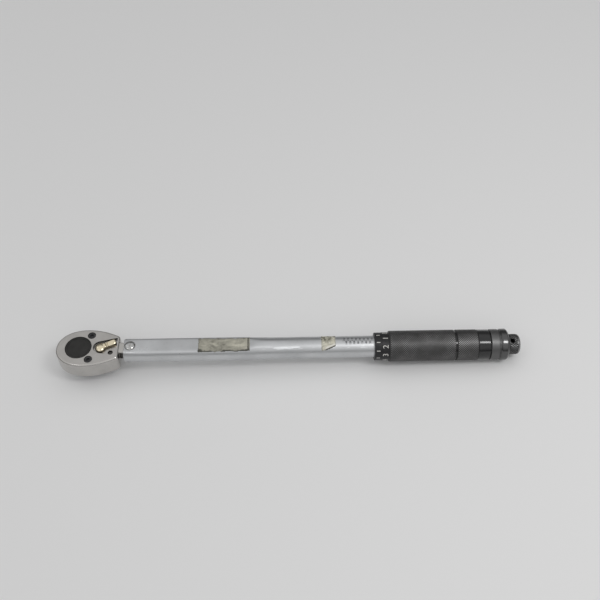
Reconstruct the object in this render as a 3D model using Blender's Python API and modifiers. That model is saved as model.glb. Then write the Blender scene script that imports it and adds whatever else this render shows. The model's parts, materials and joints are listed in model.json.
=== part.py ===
"""Click-type torque wrench with a half-inch square drive, modelled in metres.

The origin is the middle of the square drive's end face. X runs along the wrench from the drive
to the handle, Z is up and the drive points down. Every piece is its own object under an empty
that stands on the axis of the joint that carries it.
"""

import math

import bmesh
import bpy
from mathutils import Matrix, Vector

# Ratchet head, measured from the drive's axis
DRIVE_SQUARE = 0.0127
DRIVE_REACH = 0.0153
HEAD_WIDTH = 0.0450
HEAD_NOSE = 0.0226
HEAD_WIDEST = 0.0070
HEAD_SHOULDER = 0.0411
HEAD_SHOULDER_WIDTH = 0.0262
HEAD_THICKNESS = 0.0200
HEAD_RISE = 0.0068
HEAD_EDGE = 0.0016
DISC_RADIUS = 0.0131
GEAR_TEETH = 40
TOOTH_HEIGHT = 0.0014
COVER_THICKNESS = 0.0028
COVER_INSET = 0.0032
TOP_WALL = 0.0038
SCREW_ALONG = 0.0118
SCREW_INSET = 0.0079
SCREW_HEAD_RADIUS = 0.00385
SCREW_SHANK_RADIUS = 0.0020
LEVER_ALONG = 0.0220
LEVER_ANGLE = 26.0
LEVER_REACH = 0.0162
LEVER_BOSS_RADIUS = 0.0054
LEVER_RECESS = 0.0026
DIMPLE_RADIUS = 0.0026
DIMPLE_REACH = 0.0115
PAWL_DEPTH = 0.0038
PAWL_HALF_ANGLE = 20.0
PAWL_SHIFT = 4.0
BALL_RADIUS = 0.0020

# Tube with its pressed front part
TUBE_FRONT = 0.0459
TUBE_RADIUS = 0.0110
TUBE_WALL = 0.0020
PRESSED_RADIUS = 0.0117
FLAT_HEIGHT = 0.0085
FLAT_END = 0.1610
FLAT_RUN_OUT = 0.0270
TUBE_PAST_LOCK = 0.0035
PIVOT_ALONG = 0.0521
PIVOT_RADIUS = 0.0040
PIVOT_HEAD_RADIUS = 0.0056
PIVOT_HEAD_HEIGHT = 0.0019

# Click mechanism inside the tube
ARM_END = 0.1780
ARM_TAIL_WIDTH = 0.0090
BLOCK_LENGTH = 0.0090
BLOCK_WIDTH = 0.0064
PLUNGER_LENGTH = 0.0180
SPRING_LENGTH = 0.1100
SPRING_WIRE = 0.0032
SPRING_TURNS = 15
SEAT_LENGTH = 0.0080
THRUST_BALL_RADIUS = 0.0032
NUT_LEAD = 0.0060
NUT_LENGTH = 0.0190

# Handle, in order from the dial's front edge to the lock knob
THREAD_RADIUS = 0.0050
DIAL_START = 0.2988
DIAL_LENGTH = 0.0147
DIAL_RADIUS = 0.0143
GRIP_RADIUS = 0.01575
KNURL_LENGTH = 0.0897
GROOVE_ALONG = 0.0675
GROOVE_WIDTH = 0.0020
GROOVE_DEPTH = 0.0009
BAND_LENGTH = 0.0119
BAND_RADIUS = 0.0155
SEAM = 0.0010
RING_LENGTH = 0.0083
RING_RADIUS = 0.0156
NECK_LENGTH = 0.0016
NECK_RADIUS = 0.0146
END_LENGTH = 0.0080
END_RADIUS = 0.0160
END_CHAMFER = 0.0015
HUB_LENGTH = 0.0412
LOCK_BALL_RADIUS = 0.0022
LOCK_BORE_RADIUS = 0.0042
KNOB_GAP = 0.0005
KNOB_LENGTH = 0.0127
KNOB_RADIUS = 0.0104
KNOB_HOLE_RADIUS = 0.0024
KNOB_HOLE_TURN = 15.0

# Fits between pieces
GAP = 0.0003
SLIDE = 0.0004

STEPS = 32

# Levels and stations that follow from the sizes above
SCREW_ACROSS = HEAD_WIDTH / 2 - SCREW_INSET
AXIS_HEIGHT = HEAD_THICKNESS - HEAD_RISE + DRIVE_REACH
HEAD_FLOOR = HEAD_RISE - HEAD_THICKNESS
COVER_TOP = HEAD_FLOOR + COVER_THICKNESS
CHAMBER_TOP = HEAD_RISE - TOP_WALL
GEAR_LOW = COVER_TOP + GAP
GEAR_HIGH = CHAMBER_TOP - GAP
GEAR_ROOT = DISC_RADIUS + 0.0002
GEAR_TIP = GEAR_ROOT + TOOTH_HEIGHT
CHAMBER_RADIUS = GEAR_TIP + SLIDE
HUB_RADIUS = 0.76 * DRIVE_SQUARE
HUB_LOW = HEAD_FLOOR - 0.0010
BALL_LEVEL = HEAD_FLOOR - 0.6 * DRIVE_REACH
RECESS_FLOOR = HEAD_RISE - LEVER_RECESS
RECESS_RADIUS = LEVER_BOSS_RADIUS + 0.0018
RECESS_END = HEAD_SHOULDER - 0.0025
RECESS_HALF_END = 0.86 * HEAD_SHOULDER_WIDTH / 2
LEVER_SHAFT = 0.48 * LEVER_BOSS_RADIUS
PAWL_INNER = GEAR_TIP + GAP
PAWL_OUTER = PAWL_INNER + PAWL_DEPTH
SCOOP_RADIUS = LEVER_SHAFT + 0.0014
BORE_RADIUS = TUBE_RADIUS - TUBE_WALL
PRESSED_BORE = PRESSED_RADIUS - TUBE_WALL
ARM_HALF_HEIGHT = FLAT_HEIGHT - TUBE_WALL - SLIDE
BOSS_RADIUS = math.sqrt(PRESSED_BORE**2 - ARM_HALF_HEIGHT**2) - GAP
BLOCK_START = ARM_END + 0.0005
BLOCK_END = BLOCK_START + BLOCK_LENGTH
PLUNGER_START = BLOCK_END + 0.0005
PLUNGER_END = PLUNGER_START + PLUNGER_LENGTH
RUNNER_RADIUS = BORE_RADIUS - SLIDE
SPIGOT_RADIUS = 0.53 * RUNNER_RADIUS
SEAT_START = PLUNGER_END + SPRING_LENGTH
SEAT_END = SEAT_START + SEAT_LENGTH
SPRING_RADIUS = RUNNER_RADIUS - 0.0004 - SPRING_WIRE / 2
SOCKET_RADIUS = THRUST_BALL_RADIUS + GAP
SOCKET_DEPTH = 0.0015
THRUST_BALL_AT = SEAT_END - SOCKET_DEPTH + SOCKET_RADIUS
SCREW_START = THRUST_BALL_AT + SOCKET_RADIUS - SOCKET_DEPTH
NUT_START = SCREW_START + NUT_LEAD
NUT_END = NUT_START + NUT_LENGTH
KNURL_START = DIAL_START + DIAL_LENGTH
KNURL_END = KNURL_START + KNURL_LENGTH
BAND_END = KNURL_END + BAND_LENGTH
RING_START = BAND_END + SEAM
RING_END = RING_START + RING_LENGTH
END_START = RING_END + NECK_LENGTH
CAP_END = END_START + END_LENGTH
CAP_WALL = CAP_END - 0.0092
CAP_SPIGOT = RING_START - 0.0108
GRIP_BORE = TUBE_RADIUS + GAP
CAP_BORE = GRIP_BORE + 0.0001
CAP_SPIGOT_RADIUS = CAP_BORE + 0.0016
HUB_END = CAP_WALL - GAP
HUB_START = HUB_END - HUB_LENGTH
HUB_TAIL_RADIUS = 0.7 * RUNNER_RADIUS
LOCK_BORE_END = HUB_START + 0.0040
LOCK_BALL_AT = HUB_START + 0.0085
TUBE_END = LOCK_BALL_AT + TUBE_PAST_LOCK
LOCK_BALL_OUT = BORE_RADIUS - 0.0002 - LOCK_BALL_RADIUS
PUSHER_RADIUS = LOCK_BORE_RADIUS - GAP
PUSHER_SLOPE = math.radians(30.0)
PUSHER_END = LOCK_BALL_AT + 0.0135
KNOB_START = CAP_END + KNOB_GAP
KNOB_END = KNOB_START + KNOB_LENGTH
KNOB_HOLE_AT = KNOB_START + 0.31 * KNOB_LENGTH

STEEL = (0.56, 0.56, 0.57)
CHROME = (0.72, 0.72, 0.72)
BLACK = (0.02, 0.02, 0.022)
BRASS = (0.66, 0.48, 0.22)

for leftover in list(bpy.data.objects):
    bpy.data.objects.remove(leftover, do_unlink=True)

PARTS = bpy.data.collections.new("torque_wrench")
CUTTERS = bpy.data.collections.new("cutters")
bpy.context.scene.collection.children.link(PARTS)
bpy.context.scene.collection.children.link(CUTTERS)
CUTTERS.hide_render = True

FRAMES = {}


def frame(name, at, parent=None):
    """An empty on a joint's axis, at a place in the wrench's own frame."""
    empty = bpy.data.objects.new(name, None)
    empty.empty_display_size = 0.01
    PARTS.objects.link(empty)
    empty["station"] = at
    empty.location = at
    if parent:
        empty.parent = FRAMES[parent]
        empty.location = Vector(at) - Vector(FRAMES[parent]["station"])
    FRAMES[name] = empty


def paint(obj, colour, roughness, metallic):
    made = bpy.data.materials.new(obj.name)
    made.use_nodes = True
    shader = made.node_tree.nodes["Principled BSDF"]
    shader.inputs["Base Color"].default_value = (*colour, 1.0)
    shader.inputs["Roughness"].default_value = roughness
    shader.inputs["Metallic"].default_value = metallic
    obj.data.materials.append(made)


def piece(obj, body, colour, roughness=0.3, metallic=1.0):
    """Makes an object a piece of the wrench, carried by the empty of its body."""
    PARTS.objects.link(obj)
    obj.parent = FRAMES[body]
    obj.location = -Vector(FRAMES[body]["station"])
    paint(obj, colour, roughness, metallic)
    return obj


def helper(obj):
    """Keeps an object as a cutter or as one half of a union."""
    CUTTERS.objects.link(obj)
    obj.parent = FRAMES["wrench_frame"]
    obj.hide_render = True
    obj.display_type = "WIRE"
    return obj


def combine(obj, operation, *others):
    for other in others:
        boolean = obj.modifiers.new(other.name, "BOOLEAN")
        boolean.operation = operation
        boolean.solver = "EXACT"
        boolean.object = helper(other)
    return obj


def cut(obj, *others):
    return combine(obj, "DIFFERENCE", *others)


def join(obj, *others):
    return combine(obj, "UNION", *others)


def from_bmesh(name, shape):
    bmesh.ops.recalc_face_normals(shape, faces=shape.faces)
    mesh = bpy.data.meshes.new(name)
    shape.to_mesh(mesh)
    shape.free()
    return bpy.data.objects.new(name, mesh)


def rod(name, start, end, radius, end_radius=None, sides=STEPS, turn=0.0):
    """A round or many-sided bar between two points."""
    start, end = Vector(start), Vector(end)
    way = end - start
    pose = Matrix.Translation((start + end) / 2)
    pose = pose @ way.to_track_quat("Z", "Y").to_matrix().to_4x4()
    pose = pose @ Matrix.Rotation(turn, 4, "Z")
    shape = bmesh.new()
    bmesh.ops.create_cone(
        shape,
        cap_ends=True,
        segments=sides,
        radius1=radius,
        radius2=radius if end_radius is None else end_radius,
        depth=way.length,
        matrix=pose,
    )
    return from_bmesh(name, shape)


def upright(name, along, across, low, high, radius, sides=STEPS):
    return rod(name, (along, across, low), (along, across, high), radius, sides=sides)


def box(name, low, high, far_scale=1.0):
    """A block between two corners, its far end in X drawn in by far_scale about the axis."""
    low, high = Vector(low), Vector(high)
    shape = bmesh.new()
    bmesh.ops.create_cube(shape, size=1.0)
    bmesh.ops.scale(shape, vec=high - low, verts=shape.verts)
    bmesh.ops.translate(shape, vec=(low + high) / 2, verts=shape.verts)
    far = [v for v in shape.verts if v.co.x > (low.x + high.x) / 2]
    bmesh.ops.scale(shape, vec=(1.0, far_scale, far_scale), verts=far)
    return from_bmesh(name, shape)


def ball(name, centre, radius, rings=8, sides=12):
    shape = bmesh.new()
    bmesh.ops.create_uvsphere(
        shape,
        u_segments=sides,
        v_segments=rings,
        radius=radius,
        matrix=Matrix.Translation(centre),
    )
    return from_bmesh(name, shape)


def turned(name, profile, axis="X", closed=True, steps=STEPS):
    """A profile of (station, radius) points swept round X, or from top to bottom round Z."""
    points = list(reversed(profile)) if axis == "X" else list(profile)
    if axis == "X":
        corners = [(station, radius, 0.0) for station, radius in points]
    else:
        corners = [(radius, 0.0, station) for station, radius in points]
    count = len(corners)
    edges = [(i, (i + 1) % count) for i in range(count if closed else count - 1)]
    mesh = bpy.data.meshes.new(name)
    mesh.from_pydata(corners, edges, [])
    obj = bpy.data.objects.new(name, mesh)
    screw = obj.modifiers.new("turn", "SCREW")
    screw.axis = axis
    screw.angle = math.tau
    screw.steps = steps
    screw.render_steps = steps
    screw.use_merge_vertices = True
    screw.merge_threshold = 1e-6
    screw.use_smooth_shade = False
    return obj


def prism(name, outline, low, high, edge=0.0):
    """A flat outline given thickness between two levels, with its rims rounded by edge."""
    curve = bpy.data.curves.new(name, "CURVE")
    curve.dimensions = "2D"
    curve.fill_mode = "BOTH"
    curve.extrude = (high - low) / 2 - edge
    curve.bevel_depth = edge
    curve.bevel_resolution = 1
    curve.offset = -edge
    spline = curve.splines.new("POLY")
    spline.points.add(len(outline) - 1)
    for point, (x, y) in zip(spline.points, outline):
        point.co = (x, y, 0.0, 1.0)
    spline.use_cyclic_u = True
    guide = bpy.data.objects.new(name + "_outline", curve)
    bpy.context.scene.collection.objects.link(guide)
    guide.location.z = (low + high) / 2
    bpy.context.view_layer.update()
    graph = bpy.context.evaluated_depsgraph_get()
    mesh = bpy.data.meshes.new_from_object(guide.evaluated_get(graph))
    mesh.transform(guide.matrix_world)
    mesh.name = name
    bpy.data.objects.remove(guide, do_unlink=True)
    shape = bmesh.new()
    shape.from_mesh(mesh)
    bmesh.ops.remove_doubles(shape, verts=shape.verts, dist=1e-6)
    bpy.data.meshes.remove(mesh)
    return from_bmesh(name, shape)


def coil(name, start, end, radius, wire, turns, per_turn=9):
    """A wire wound from one point to another. It prints the least gap between its turns."""
    start, end = Vector(start), Vector(end)
    way = end - start
    to_axis = way.to_track_quat("Z", "Y").to_matrix()
    count = round(turns * per_turn)
    points = []
    for i in range(count + 1):
        angle = math.tau * i / per_turn
        ring = Vector((radius * math.cos(angle), radius * math.sin(angle), 0.0))
        points.append(start + way * i / count + to_axis @ ring)
    least = min(
        (points[i] - points[j]).length
        for i in range(len(points))
        for j in range(i + per_turn // 2 + 1, min(len(points), i + 2 * per_turn))
    )
    print(f"{name}: least gap between turns {1000 * (least - wire):.2f} mm")
    curve = bpy.data.curves.new(name, "CURVE")
    curve.dimensions = "3D"
    curve.bevel_depth = wire / 2
    curve.bevel_resolution = 1
    curve.use_fill_caps = True
    spline = curve.splines.new("POLY")
    spline.points.add(count)
    for point, place in zip(spline.points, points):
        point.co = (*place, 1.0)
    return bpy.data.objects.new(name, curve)


def arc(radius, first, last, count, along=0.0):
    """Points of an arc about a point on the X axis, with the angles in degrees."""
    turns = [first + (last - first) * i / (count - 1) for i in range(count)]
    return [
        (along + radius * math.cos(math.radians(t)), radius * math.sin(math.radians(t)))
        for t in turns
    ]


def head_outline(inset=0.0, shoulder=HEAD_SHOULDER):
    """The pear outline of the head: a full nose, then flanks that draw in to the shoulder."""
    half = HEAD_WIDTH / 2 - inset
    reach = HEAD_NOSE + HEAD_WIDEST - inset
    drop = (HEAD_WIDTH - HEAD_SHOULDER_WIDTH) / 2
    run = HEAD_SHOULDER - HEAD_WIDEST
    corner = 0.0026
    upper = []
    for i in range(1, 13):
        angle = math.radians(180.0 - 90.0 * i / 12)
        x = HEAD_WIDEST - reach * abs(math.cos(angle)) ** (2 / 2.1)
        upper.append((x, half * math.sin(angle) ** (2 / 2.1)))
    for i in range(1, 6):
        x = HEAD_WIDEST + (shoulder - corner - HEAD_WIDEST) * i / 5
        upper.append((x, half - drop * ((x - HEAD_WIDEST) / run) ** 2))
    last = upper[-1][1]
    upper.append((shoulder - 0.3 * corner, last - 0.35 * corner))
    upper.append((shoulder, last - 1.1 * corner))
    lower = [(x, -y) for x, y in reversed(upper)]
    return [(HEAD_WIDEST - reach, 0.0), *upper, *lower]


def add_frames():
    frame("wrench_frame", (0.0, 0.0, 0.0))
    FRAMES["wrench_frame"].location.z = AXIS_HEIGHT
    root = "wrench_frame"
    frame("head_axis", (PIVOT_ALONG, 0.0, 0.0), root)
    frame("drive_axis", (0.0, 0.0, 0.0), "head_axis")
    frame("ball_axis", (0.0, 0.0, BALL_LEVEL), "drive_axis")
    frame("lever_axis", (LEVER_ALONG, 0.0, 0.0), "head_axis")
    frame("pawl_axis", (0.0, 0.0, 0.0), "head_axis")
    frame("block_axis", (BLOCK_END, 0.0, 0.0), root)
    frame("plunger_axis", (PLUNGER_START, 0.0, 0.0), root)
    frame("thrust_axis", (SEAT_START, 0.0, 0.0), root)
    frame("handle_axis", (SCREW_START, 0.0, 0.0), "thrust_axis")
    frame("lock_axis", (PUSHER_END, 0.0, 0.0), "handle_axis")
    frame("knob_axis", (PUSHER_END + GAP, 0.0, 0.0), "lock_axis")
    frame("left_ball_axis", (LOCK_BALL_AT, LOCK_BALL_OUT, 0.0), "handle_axis")
    frame("right_ball_axis", (LOCK_BALL_AT, -LOCK_BALL_OUT, 0.0), "handle_axis")


def add_head():
    body = prism("head_body", head_outline(), HEAD_FLOOR, HEAD_RISE, HEAD_EDGE)
    neck = 0.0060
    tail = ARM_TAIL_WIDTH / 2 / (ARM_HALF_HEIGHT - 0.0003)
    join(
        body,
        box(
            "neck",
            (HEAD_SHOULDER - 0.006, -neck, -ARM_HALF_HEIGHT + 0.0002),
            (PIVOT_ALONG, neck, ARM_HALF_HEIGHT - 0.0002),
        ),
        upright("boss", PIVOT_ALONG, 0.0, -ARM_HALF_HEIGHT, ARM_HALF_HEIGHT, BOSS_RADIUS),
        box(
            "arm",
            (
                PIVOT_ALONG + 0.002,
                -ARM_HALF_HEIGHT + 0.0003,
                -ARM_HALF_HEIGHT + 0.0003,
            ),
            (ARM_END, ARM_HALF_HEIGHT - 0.0003, ARM_HALF_HEIGHT - 0.0003),
            far_scale=tail,
        ),
    )
    deep = HEAD_FLOOR - 0.002
    over = HEAD_RISE + 0.002
    sweep = PAWL_HALF_ANGLE + PAWL_SHIFT + 2.5
    pocket = arc(PAWL_OUTER + GAP, -sweep, sweep, 9)
    pocket += arc(CHAMBER_RADIUS - 0.002, sweep, -sweep, 7)
    edge = math.degrees(math.atan2(RECESS_HALF_END - RECESS_RADIUS, RECESS_END - LEVER_ALONG))
    recess = arc(RECESS_RADIUS, 90.0 + edge, 270.0 - edge, 11, LEVER_ALONG)
    recess += [(RECESS_END, -RECESS_HALF_END), (RECESS_END, RECESS_HALF_END)]
    cut(
        body,
        upright("pin_hole", PIVOT_ALONG, 0.0, deep, over, PIVOT_RADIUS + GAP),
        upright("disc_hole", 0.0, 0.0, deep, over, DISC_RADIUS + GAP),
        upright("chamber", 0.0, 0.0, deep, CHAMBER_TOP, CHAMBER_RADIUS, sides=40),
        prism(
            "cover_seat",
            head_outline(COVER_INSET - GAP, RECESS_END - 0.0085),
            deep,
            COVER_TOP,
        ),
        prism("pawl_pocket", pocket, deep, CHAMBER_TOP),
        upright("shaft_room", LEVER_ALONG, 0.0, deep, CHAMBER_TOP, SCOOP_RADIUS + 0.0004, 24),
        prism("lever_recess", recess, RECESS_FLOOR, over),
        upright("shaft_hole", LEVER_ALONG, 0.0, deep, over, LEVER_SHAFT + GAP, 24),
    )
    for side, name in ((1.0, "far"), (-1.0, "near")):
        turn = math.radians(LEVER_ANGLE)
        along = LEVER_ALONG + DIMPLE_REACH * math.cos(turn)
        across = side * DIMPLE_REACH * math.sin(turn)
        low = RECESS_FLOOR - 0.0030
        cut(
            body,
            upright("dimple_" + name, along, across, low, over, DIMPLE_RADIUS, 16),
            upright(
                "screw_hole_" + name,
                SCREW_ALONG,
                side * SCREW_ACROSS,
                deep,
                over,
                SCREW_SHANK_RADIUS + GAP,
                16,
            ),
            upright(
                "screw_seat_" + name,
                SCREW_ALONG,
                side * SCREW_ACROSS,
                CHAMBER_TOP + 0.0011,
                over,
                SCREW_HEAD_RADIUS + GAP,
                20,
            ),
        )
    piece(body, "head_axis", (0.62, 0.61, 0.59), 0.32)


def add_cover():
    outline = head_outline(COVER_INSET, RECESS_END - 0.0085 - GAP)
    plate = prism("cover_plate", outline, HEAD_FLOOR + 0.0001, COVER_TOP - GAP)
    deep = HEAD_FLOOR - 0.002
    over = COVER_TOP + 0.002
    cut(
        plate,
        upright("hub_hole", 0.0, 0.0, deep, over, HUB_RADIUS + GAP),
        upright(
            "shaft_seat",
            LEVER_ALONG,
            0.0,
            HEAD_FLOOR + 0.0008,
            over,
            LEVER_SHAFT + GAP,
            24,
        ),
    )
    for side, name in ((1.0, "far"), (-1.0, "near")):
        across = side * SCREW_ACROSS
        hole = SCREW_SHANK_RADIUS + 0.0002
        cut(plate, upright("thread_" + name, SCREW_ALONG, across, deep, over, hole, 16))
        top = HEAD_RISE - 0.0004
        seat = CHAMBER_TOP + 0.0011 + GAP
        screw = upright(
            "cover_screw_" + name, SCREW_ALONG, across, seat, top, SCREW_HEAD_RADIUS, 20
        )
        join(
            screw,
            upright(
                "shank_" + name,
                SCREW_ALONG,
                across,
                HEAD_FLOOR + 0.0003,
                seat + 0.0004,
                SCREW_SHANK_RADIUS,
                16,
            ),
        )
        socket = 0.48 * SCREW_HEAD_RADIUS
        low = seat + 0.0005
        cut(screw, upright("key_" + name, SCREW_ALONG, across, low, top + 0.001, socket, 6))
        piece(screw, "head_axis", BLACK, 0.4, 0.6)
    piece(plate, "head_axis", STEEL, 0.35)


def add_drive():
    teeth = []
    pitch = math.tau / GEAR_TEETH
    for i in range(GEAR_TEETH):
        for share, radius in ((-0.5, GEAR_ROOT), (-0.1, GEAR_TIP), (0.1, GEAR_TIP)):
            angle = (i + share) * pitch
            teeth.append((radius * math.cos(angle), radius * math.sin(angle)))
    gear = prism("drive_gear", teeth, GEAR_LOW, GEAR_HIGH)
    disc_low = GEAR_HIGH + 0.0023
    half = DRIVE_SQUARE / 2
    tip = HEAD_FLOOR - DRIVE_REACH
    square = box("square", (-half, -half, tip), (half, half, HUB_LOW + 0.0015))
    bevel = square.modifiers.new("edges", "BEVEL")
    bevel.width = 0.06 * DRIVE_SQUARE
    bevel.segments = 1
    join(
        gear,
        upright("journal", 0.0, 0.0, GEAR_HIGH - 0.002, disc_low, DISC_RADIUS),
        upright("hub", 0.0, 0.0, HUB_LOW, GEAR_LOW + 0.002, HUB_RADIUS),
        square,
    )
    spring_end = 0.2 * DRIVE_SQUARE
    cut(
        gear,
        rod(
            "ball_hole",
            (0.0, -DRIVE_SQUARE, BALL_LEVEL),
            (0.0, spring_end + GAP, BALL_LEVEL),
            BALL_RADIUS + 0.0002,
            sides=16,
        ),
        upright("disc_socket", 0.0, 0.0, disc_low - 0.0016, disc_low + 0.002, 0.0043, 20),
    )
    piece(gear, "drive_axis", STEEL, 0.28)
    disc = upright("back_disc", 0.0, 0.0, disc_low + GAP, HEAD_RISE - 0.0002, DISC_RADIUS)
    join(disc, upright("stub", 0.0, 0.0, disc_low - 0.0013, disc_low + 0.0008, 0.0040, 20))
    piece(disc, "drive_axis", (0.03, 0.03, 0.032), 0.5, 0.5)
    ball_at = -half - 0.0012 + BALL_RADIUS
    piece(ball("drive_ball", (0.0, ball_at, BALL_LEVEL), BALL_RADIUS), "ball_axis", STEEL, 0.15)
    wire = 0.0005
    spring = coil(
        "drive_ball_spring",
        (0.0, spring_end - wire / 2, BALL_LEVEL),
        (0.0, ball_at + BALL_RADIUS + GAP + wire / 2, BALL_LEVEL),
        BALL_RADIUS - 0.0005,
        wire,
        5,
        per_turn=8,
    )
    piece(spring, "drive_axis", STEEL, 0.3)


def add_reversing_gear():
    turn = math.radians(LEVER_ANGLE)
    to_tip = Vector((math.cos(turn), math.sin(turn), 0.0))
    across = Vector((-math.sin(turn), math.cos(turn), 0.0))
    pivot = Vector((LEVER_ALONG, 0.0, 0.0))
    low = RECESS_FLOOR + GAP
    top = HEAD_RISE + 0.0014
    tab = []
    for reach, half in ((0.0, 0.70), (0.55, 0.66), (0.86, 0.58), (0.96, 0.40), (1.0, 0.0)):
        tab.append(pivot + to_tip * LEVER_REACH * reach + across * LEVER_BOSS_RADIUS * half)
    for reach, half in ((0.96, 0.40), (0.86, 0.58), (0.55, 0.66), (0.0, 0.70)):
        tab.append(pivot + to_tip * LEVER_REACH * reach - across * LEVER_BOSS_RADIUS * half)
    lever = upright("reversing_lever", LEVER_ALONG, 0.0, low, top, LEVER_BOSS_RADIUS)
    clip_low = CHAMBER_TOP - 0.0013
    clip_high = clip_low + 0.0009
    neck = 0.8 * LEVER_SHAFT
    foot = HEAD_FLOOR + 0.0011
    join(
        lever,
        prism("lever_tab", [(p.x, p.y) for p in tab], low + 0.0001, HEAD_RISE + 0.0009, 0.0004),
        upright("lever_shaft", LEVER_ALONG, 0.0, foot, low + 0.0004, LEVER_SHAFT, 24),
    )
    under = clip_low - 0.001
    over = clip_high + 0.001
    groove = upright("clip_groove", LEVER_ALONG, 0.0, clip_low, clip_high, 2 * LEVER_SHAFT, 24)
    cut(groove, upright("groove_core", LEVER_ALONG, 0.0, under, over, neck, 24))
    level = (GEAR_LOW + GEAR_HIGH) / 2 - 0.001
    mid = pivot + Vector((0.0, 0.0, level))
    bore = 0.0012
    back = mid + to_tip * (LEVER_SHAFT - 0.0006)
    cut(lever, groove, rod("plunger_hole", back, mid - to_tip * 0.008, bore, sides=12))
    piece(lever, "lever_axis", (0.70, 0.67, 0.60), 0.16)

    clip = upright(
        "lever_clip",
        LEVER_ALONG,
        0.0,
        clip_low + 0.0001,
        clip_high - 0.0001,
        1.32 * LEVER_SHAFT,
        24,
    )
    cut(
        clip,
        upright("clip_bore", LEVER_ALONG, 0.0, under, over, neck + 0.0002, 24),
        box(
            "clip_mouth",
            (LEVER_ALONG, -0.6 * neck, under),
            (LEVER_ALONG + 0.01, 0.6 * neck, over),
        ),
    )
    piece(clip, "lever_axis", STEEL, 0.35)

    tip = SCOOP_RADIUS - GAP
    plunger = rod(
        "pawl_plunger",
        mid - to_tip * 0.0008,
        mid - to_tip * tip,
        bore - 0.0002,
        0.7 * (bore - 0.0002),
        sides=12,
    )
    piece(plunger, "lever_axis", STEEL, 0.25)
    wire = 0.0003
    spring = coil(
        "pawl_spring",
        back - to_tip * (GAP + wire / 2),
        mid - to_tip * (0.0008 - GAP - wire / 2),
        bore - 0.0005,
        wire,
        2,
        per_turn=8,
    )
    piece(spring, "lever_axis", STEEL, 0.3)

    pitch = 360.0 / GEAR_TEETH
    outline = []
    count = int(2 * PAWL_HALF_ANGLE / pitch)
    for i in range(count):
        middle = -PAWL_SHIFT + (i - (count - 1) / 2) * pitch
        for share, radius in ((-0.5, TOOTH_HEIGHT), (-0.12, 0.0), (0.12, 0.0)):
            angle = math.radians(middle + share * pitch)
            radius += PAWL_INNER
            outline.append((radius * math.cos(angle), radius * math.sin(angle)))
    high = -PAWL_SHIFT + PAWL_HALF_ANGLE
    low_end = -PAWL_SHIFT - PAWL_HALF_ANGLE
    outline += arc(PAWL_OUTER, high, low_end, 9)
    pawl = prism("pawl", outline, GEAR_LOW, clip_low - GAP)
    shift = math.radians(-PAWL_SHIFT)
    scoop = LEVER_ALONG * Vector((math.cos(shift), math.sin(shift), 0.0))
    deep = GEAR_LOW - 0.002
    cut(pawl, upright("scoop", scoop.x, scoop.y, deep, CHAMBER_TOP + 0.002, SCOOP_RADIUS, 24))
    piece(pawl, "pawl_axis", STEEL, 0.3)


def tube_section(station):
    """Radius and flat height of the tube's skin at a station along it."""
    share = min(max((station - FLAT_END) / FLAT_RUN_OUT, 0.0), 1.0)
    share = share * share * (3 - 2 * share)
    radius = PRESSED_RADIUS + (TUBE_RADIUS - PRESSED_RADIUS) * share
    return radius, FLAT_HEIGHT + (TUBE_RADIUS - FLAT_HEIGHT) * share


def add_tube():
    edge = math.acos(FLAT_HEIGHT / PRESSED_RADIUS)
    quarter = [edge * i / 4 for i in range(4)]
    quarter += [edge + (math.pi / 2 - edge) * i / 5 for i in range(5)]
    half = quarter + [math.pi - a for a in reversed(quarter[1:])]
    half.insert(len(quarter), math.pi / 2)
    turns = half + [a + math.pi for a in half]
    stations = [TUBE_FRONT]
    stations += [FLAT_END + FLAT_RUN_OUT * i / 5 for i in range(6)]
    stations += [TUBE_END]
    shape = bmesh.new()
    rings = []
    for wall, order in ((0.0, stations), (TUBE_WALL, reversed(stations))):
        for station in order:
            radius, height = tube_section(station)
            radius -= wall
            height -= wall
            ring = []
            for turn in turns:
                level = min(max(radius * math.cos(turn), -height), height)
                ring.append(shape.verts.new((station, radius * math.sin(turn), level)))
            rings.append(ring)
    # the outer skin runs back and the bore runs forward, so the loft closes on itself
    for ring, after in zip(rings, rings[1:] + rings[:1]):
        for i in range(len(ring)):
            j = (i + 1) % len(ring)
            shape.faces.new((ring[i], ring[j], after[j], after[i]))
    tube = from_bmesh("tube_housing", shape)
    high = PRESSED_RADIUS + 0.002
    cut(tube, upright("pivot_hole", PIVOT_ALONG, 0.0, -high, high, PIVOT_RADIUS + 0.0002))
    at = (NUT_START + NUT_END) / 2
    for side, name in ((1.0, "upper"), (-1.0, "lower")):
        start = (at, 0.0, side * (TUBE_RADIUS + 0.002))
        cut(tube, rod("wall_hole_" + name, start, (at, 0.0, side * 0.003), 0.0017, sides=16))
    piece(tube, "wrench_frame", CHROME, 0.2)

    under = FLAT_HEIGHT + 0.0002
    head = PIVOT_HEAD_RADIUS
    rise = PIVOT_HEAD_HEIGHT
    half = [
        (under + rise, 0.0),
        (under + 0.93 * rise, 0.4 * head),
        (under + 0.62 * rise, 0.8 * head),
        (under, head),
        (under, PIVOT_RADIUS),
    ]
    profile = half + [(-station, radius) for station, radius in reversed(half)]
    pin = turned("pivot_pin", profile, axis="Z", closed=False)
    piece(pin, "wrench_frame", CHROME, 0.12)
    pin.location.x += PIVOT_ALONG


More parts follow.
